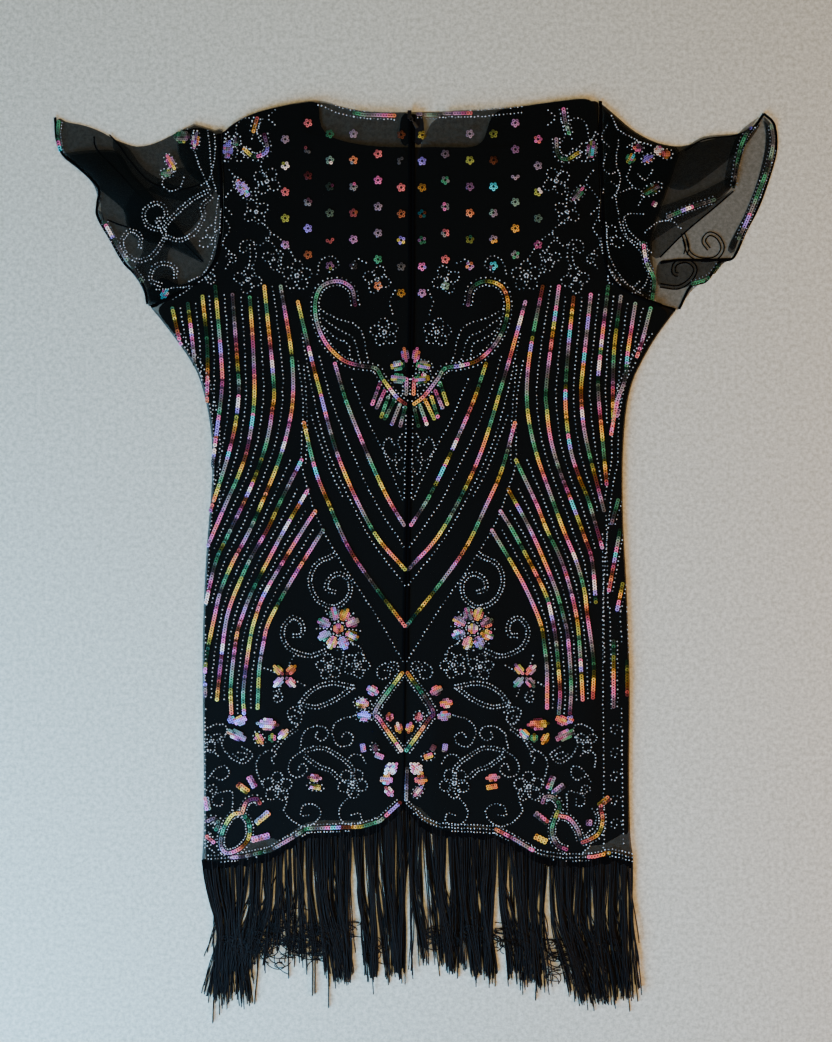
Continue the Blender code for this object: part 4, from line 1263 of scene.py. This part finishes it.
# pleats of the sleeves: outlines of net that lies folded on itself, with how many layers
pleats = {
    "left": [
        (1, [(-322, 376), (-316, 352), (-300, 336), (-310, 310), (-298, 294), (-290, 275),
             (-270, 281), (-262, 298), (-274, 322), (-264, 344), (-246, 357), (-232, 378),
             (-222, 402), (-242, 420), (-262, 422), (-290, 402), (-310, 395)]),
        (2, [(-389, 439), (-351, 443), (-328, 440), (-312, 417), (-292, 394), (-271, 368),
             (-245, 338), (-233, 318), (-251, 326), (-271, 335), (-292, 340), (-315, 355),
             (-322, 376), (-348, 399), (-366, 417)]),
        (1, [(-334, 455), (-317, 445), (-297, 420), (-261, 402), (-230, 399), (-240, 386),
             (-271, 389), (-297, 399), (-317, 417), (-333, 443)]),
        (2, [(-245, 472), (-222, 465), (-212, 461), (-214, 389), (-222, 399), (-245, 412),
             (-261, 435), (-261, 461)]),
        (2, [(-297, 289), (-281, 302), (-261, 294), (-240, 302), (-224, 317), (-216, 340),
             (-218, 322), (-240, 298), (-266, 282), (-292, 273)]),
    ],
    "right": [
        (3, [(205, 492), (240, 462), (272, 448), (289, 443), (279, 406), (264, 362), (258, 321),
             (262, 280), (244, 284), (222, 296), (210, 318), (206, 350), (205, 420)]),
        (1, [(296, 445), (318, 458), (362, 462), (380, 474), (367, 453), (347, 435), (323, 416),
             (296, 399), (274, 406), (284, 435)]),
        (1, [(347, 401), (328, 387), (296, 372), (274, 365), (264, 377), (289, 387), (318, 399),
             (347, 413)]),
        (1, [(350, 400), (330, 388), (276, 370), (262, 352), (259, 330), (269, 325), (296, 352),
             (328, 379)]),
        (1, [(312, 300), (298, 292), (280, 290), (266, 296), (268, 320), (290, 322), (346, 324),
             (336, 317), (322, 304)]),
        (2, [(383, 480), (392, 470), (394, 448), (386, 411), (373, 375), (356, 345), (350, 330),
             (344, 336), (362, 372), (376, 408), (384, 440), (386, 462)]),
        (1, [(378, 480), (363, 458), (353, 428), (350, 404), (340, 404), (344, 432), (356, 462)]),
    ],
}
# dark lines where a pleat's fold doubles the net: points in the row frame
foldLines = [
    [(-338, 460), (-327, 448), (-315, 431), (-292, 407), (-261, 399), (-230, 407)],
    [(-355, 458), (-351, 443), (-322, 412), (-286, 371), (-235, 320)],
    [(-340, 366), (-328, 361), (-318, 358)],
    [(350, 398), (328, 379), (296, 352), (269, 325)],
    [(296, 442), (318, 455), (358, 460), (378, 470)],
]
# vines of the layer below, seen dark through the net
shadowVines = [
    [(296, 345), (301, 330), (313, 323), (330, 324), (338, 335), (333, 347), (323, 351),
     (317, 343), (323, 334)],
    [(269, 294), (289, 292), (303, 301), (308, 313), (299, 321), (286, 318), (284, 308),
     (289, 306)],
    [(294, 352), (299, 338), (297, 328)],
]


# mm: step of the outline's curve, grid of the sheet, lift off the cloth and of each layer; each
# layer is a little smaller than the last
pleatLook = {"edgeStep": 5.0, "grid": 7.0, "lift": 0.2, "layer": 0.25, "stepIn": 0.05}


def pleatMesh(outline, level):
    # a flat sheet inside a rounded outline, laid over the cloth below it
    ring = smoothPath(outline + outline[:1], pleatLook["edgeStep"])[:-1]
    middle = ring.mean(axis=0)
    ring = middle + (ring - middle) * (1 - pleatLook["stepIn"] * level)
    columns, rows = (np.arange(low, high, pleatLook["grid"])
                     for low, high in zip(ring.min(axis=0), ring.max(axis=0)))
    spots = [Vector(p) for p in ring] + [Vector((x, y)) for x in columns for y in rows]
    edges = [(k, (k + 1) % len(ring)) for k in range(len(ring))]
    found = delaunay_2d_cdt(spots, edges, [], 1, 0.01)
    flat, faces = found[0], found[2]
    points, z = [], offCloth["pleat"]
    for x, y in flat:
        below = seat(x, y)
        z = below[0] if below else z
        points.append((x, y, z + pleatLook["lift"] + pleatLook["layer"] * level))
    return np.array(points), np.array(faces)


print("stage: sleeve pleats")
for side, group in pleats.items():
    sheets = [pleatMesh(outline, level) for layers, outline in group for level in range(layers)]
    made = newObject("pleats_" + side, *merged(sheets), [netCloth])
    bm = bmesh.new()
    bm.from_mesh(sleeves[side].data)
    bm.from_mesh(made.data)
    bm.to_mesh(sleeves[side].data)
    bm.free()
    bpy.data.objects.remove(made)
shadows = [offsetPath(smoothPath(path, 3.0), shift) for path in shadowVines
           for shift in (-1.9, 1.9)]
seams.append(newObject("sleeve_fold_lines", *merged(
    [rib(path, 0.8, 0.25) for path in foldLines] + [rib(path, 0.7, 0.4) for path in shadows]),
    [seamThread]))

for made in [*backNets.values(), *backLinings.values(), *zipTapes.values(), frontNet, frontLining,
             *sleeves.values(), *beadwork.values(), *fringes.values(), *seams]:
    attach(made, "dress")
for side in ("left", "right"):
    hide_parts(f"back_net_{side}")
    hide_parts(f"back_lining_{side}")
    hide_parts(f"zip_tape_{side}")
    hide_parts(f"sleeve_{side}")
    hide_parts(f"hem_trim_{side}", f"neck_trim_{side}")
    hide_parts(f"sleeve_trim_{side}")
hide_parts("fringe_front")
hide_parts("fringe_back")
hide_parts("front_net")
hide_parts("front_lining")
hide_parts("hem_trim_front")
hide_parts("sleeve_trim_right_under")
for made, body, name in ((slider, "dress", "zip_slider"), (pull, "pull", "zip_pull")):
    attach(made, body)
    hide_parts(name)

floorLook = {"size": 6.0, "pale": "#e9ebd6", "dark": "#bbbda6", "mottle": 4.5,
             "from": 0.35, "to": 0.65, "drop": 0.2}
floorCloth, tree, shader = newMaterial("pale_felt_floor", floorLook["pale"], Roughness=0.95)
# matte pale felt, faintly mottled, so that the black edge of the dress stands clear
spot = addNode(tree, "ShaderNodeTexCoord")
mottle = addNode(tree, "ShaderNodeTexNoise",
                 {"Scale": 1 / (floorLook["mottle"] * mm), "Detail": 4.0, "Roughness": 0.75},
                 {"Vector": spot.outputs["Object"]})
contrast = addNode(tree, "ShaderNodeMapRange",
                   {"From Min": floorLook["from"], "From Max": floorLook["to"]},
                   {"Value": mottle.outputs[0]})
blend = addNode(tree, "ShaderNodeMix", {6: linear(floorLook["pale"]), 7: linear(floorLook["dark"])},
                {0: contrast.outputs[0]}, data_type="RGBA")
tree.links.new(blend.outputs[2], shader.inputs["Base Color"])
half, drop = floorLook["size"] / 2 / mm, floorLook["drop"]
floor = newObject("floor", [(-half, -half, -drop), (half, -half, -drop), (half, half, -drop),
                            (-half, half, -drop)], [(0, 1, 2, 3)], [floorCloth])
floor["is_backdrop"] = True

# lamps: name, place in metres, size in metres, watts, colour
lamps = [
    ("overhead_softbox", (0.2, -0.3, 3.0), 2.6, 54, "#ffdaa2"),
    ("window_side", (-1.05, -0.95, 0.7), 1.1, 76, "#84c4ff"),
    ("room_side", (1.3, -0.4, 1.0), 1.0, 10, "#ff9c40"),
]
room = {"colour": "#d8dcdf", "strength": 0.12}
for name, spot, size, watts, colour in lamps:
    data = bpy.data.lights.new(name, "AREA")
    data.size = size
    data.energy = watts
    data.color = linear(colour)[:3]
    lamp = bpy.data.objects.new(name, data)
    lamp.location = spot
    lamp.rotation_euler = (Vector((0, 0, 0)) - Vector(spot)).to_track_quat("-Z", "Y").to_euler()
    bpy.context.scene.collection.objects.link(lamp)
world = bpy.data.worlds.new("room")
bpy.context.scene.world = world
world.use_nodes = True
background = world.node_tree.nodes["Background"]
background.inputs["Color"].default_value = linear(room["colour"])
background.inputs["Strength"].default_value = room["strength"]

# straight above, in metres, with the lens and sensor in mm
view = {"place": (-0.0002, 0.0342, 1.597), "lens": 50, "sensor": 36}
lens = bpy.data.cameras.new("camera")
lens.lens = view["lens"]
lens.sensor_width = view["sensor"]
camera = bpy.data.objects.new("camera", lens)
camera.location = view["place"]
bpy.context.scene.collection.objects.link(camera)
bpy.context.scene.camera = camera

size = {"cad": [list(corner) for corner in cadBounds],
        "visual": [list(corner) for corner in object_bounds()]}
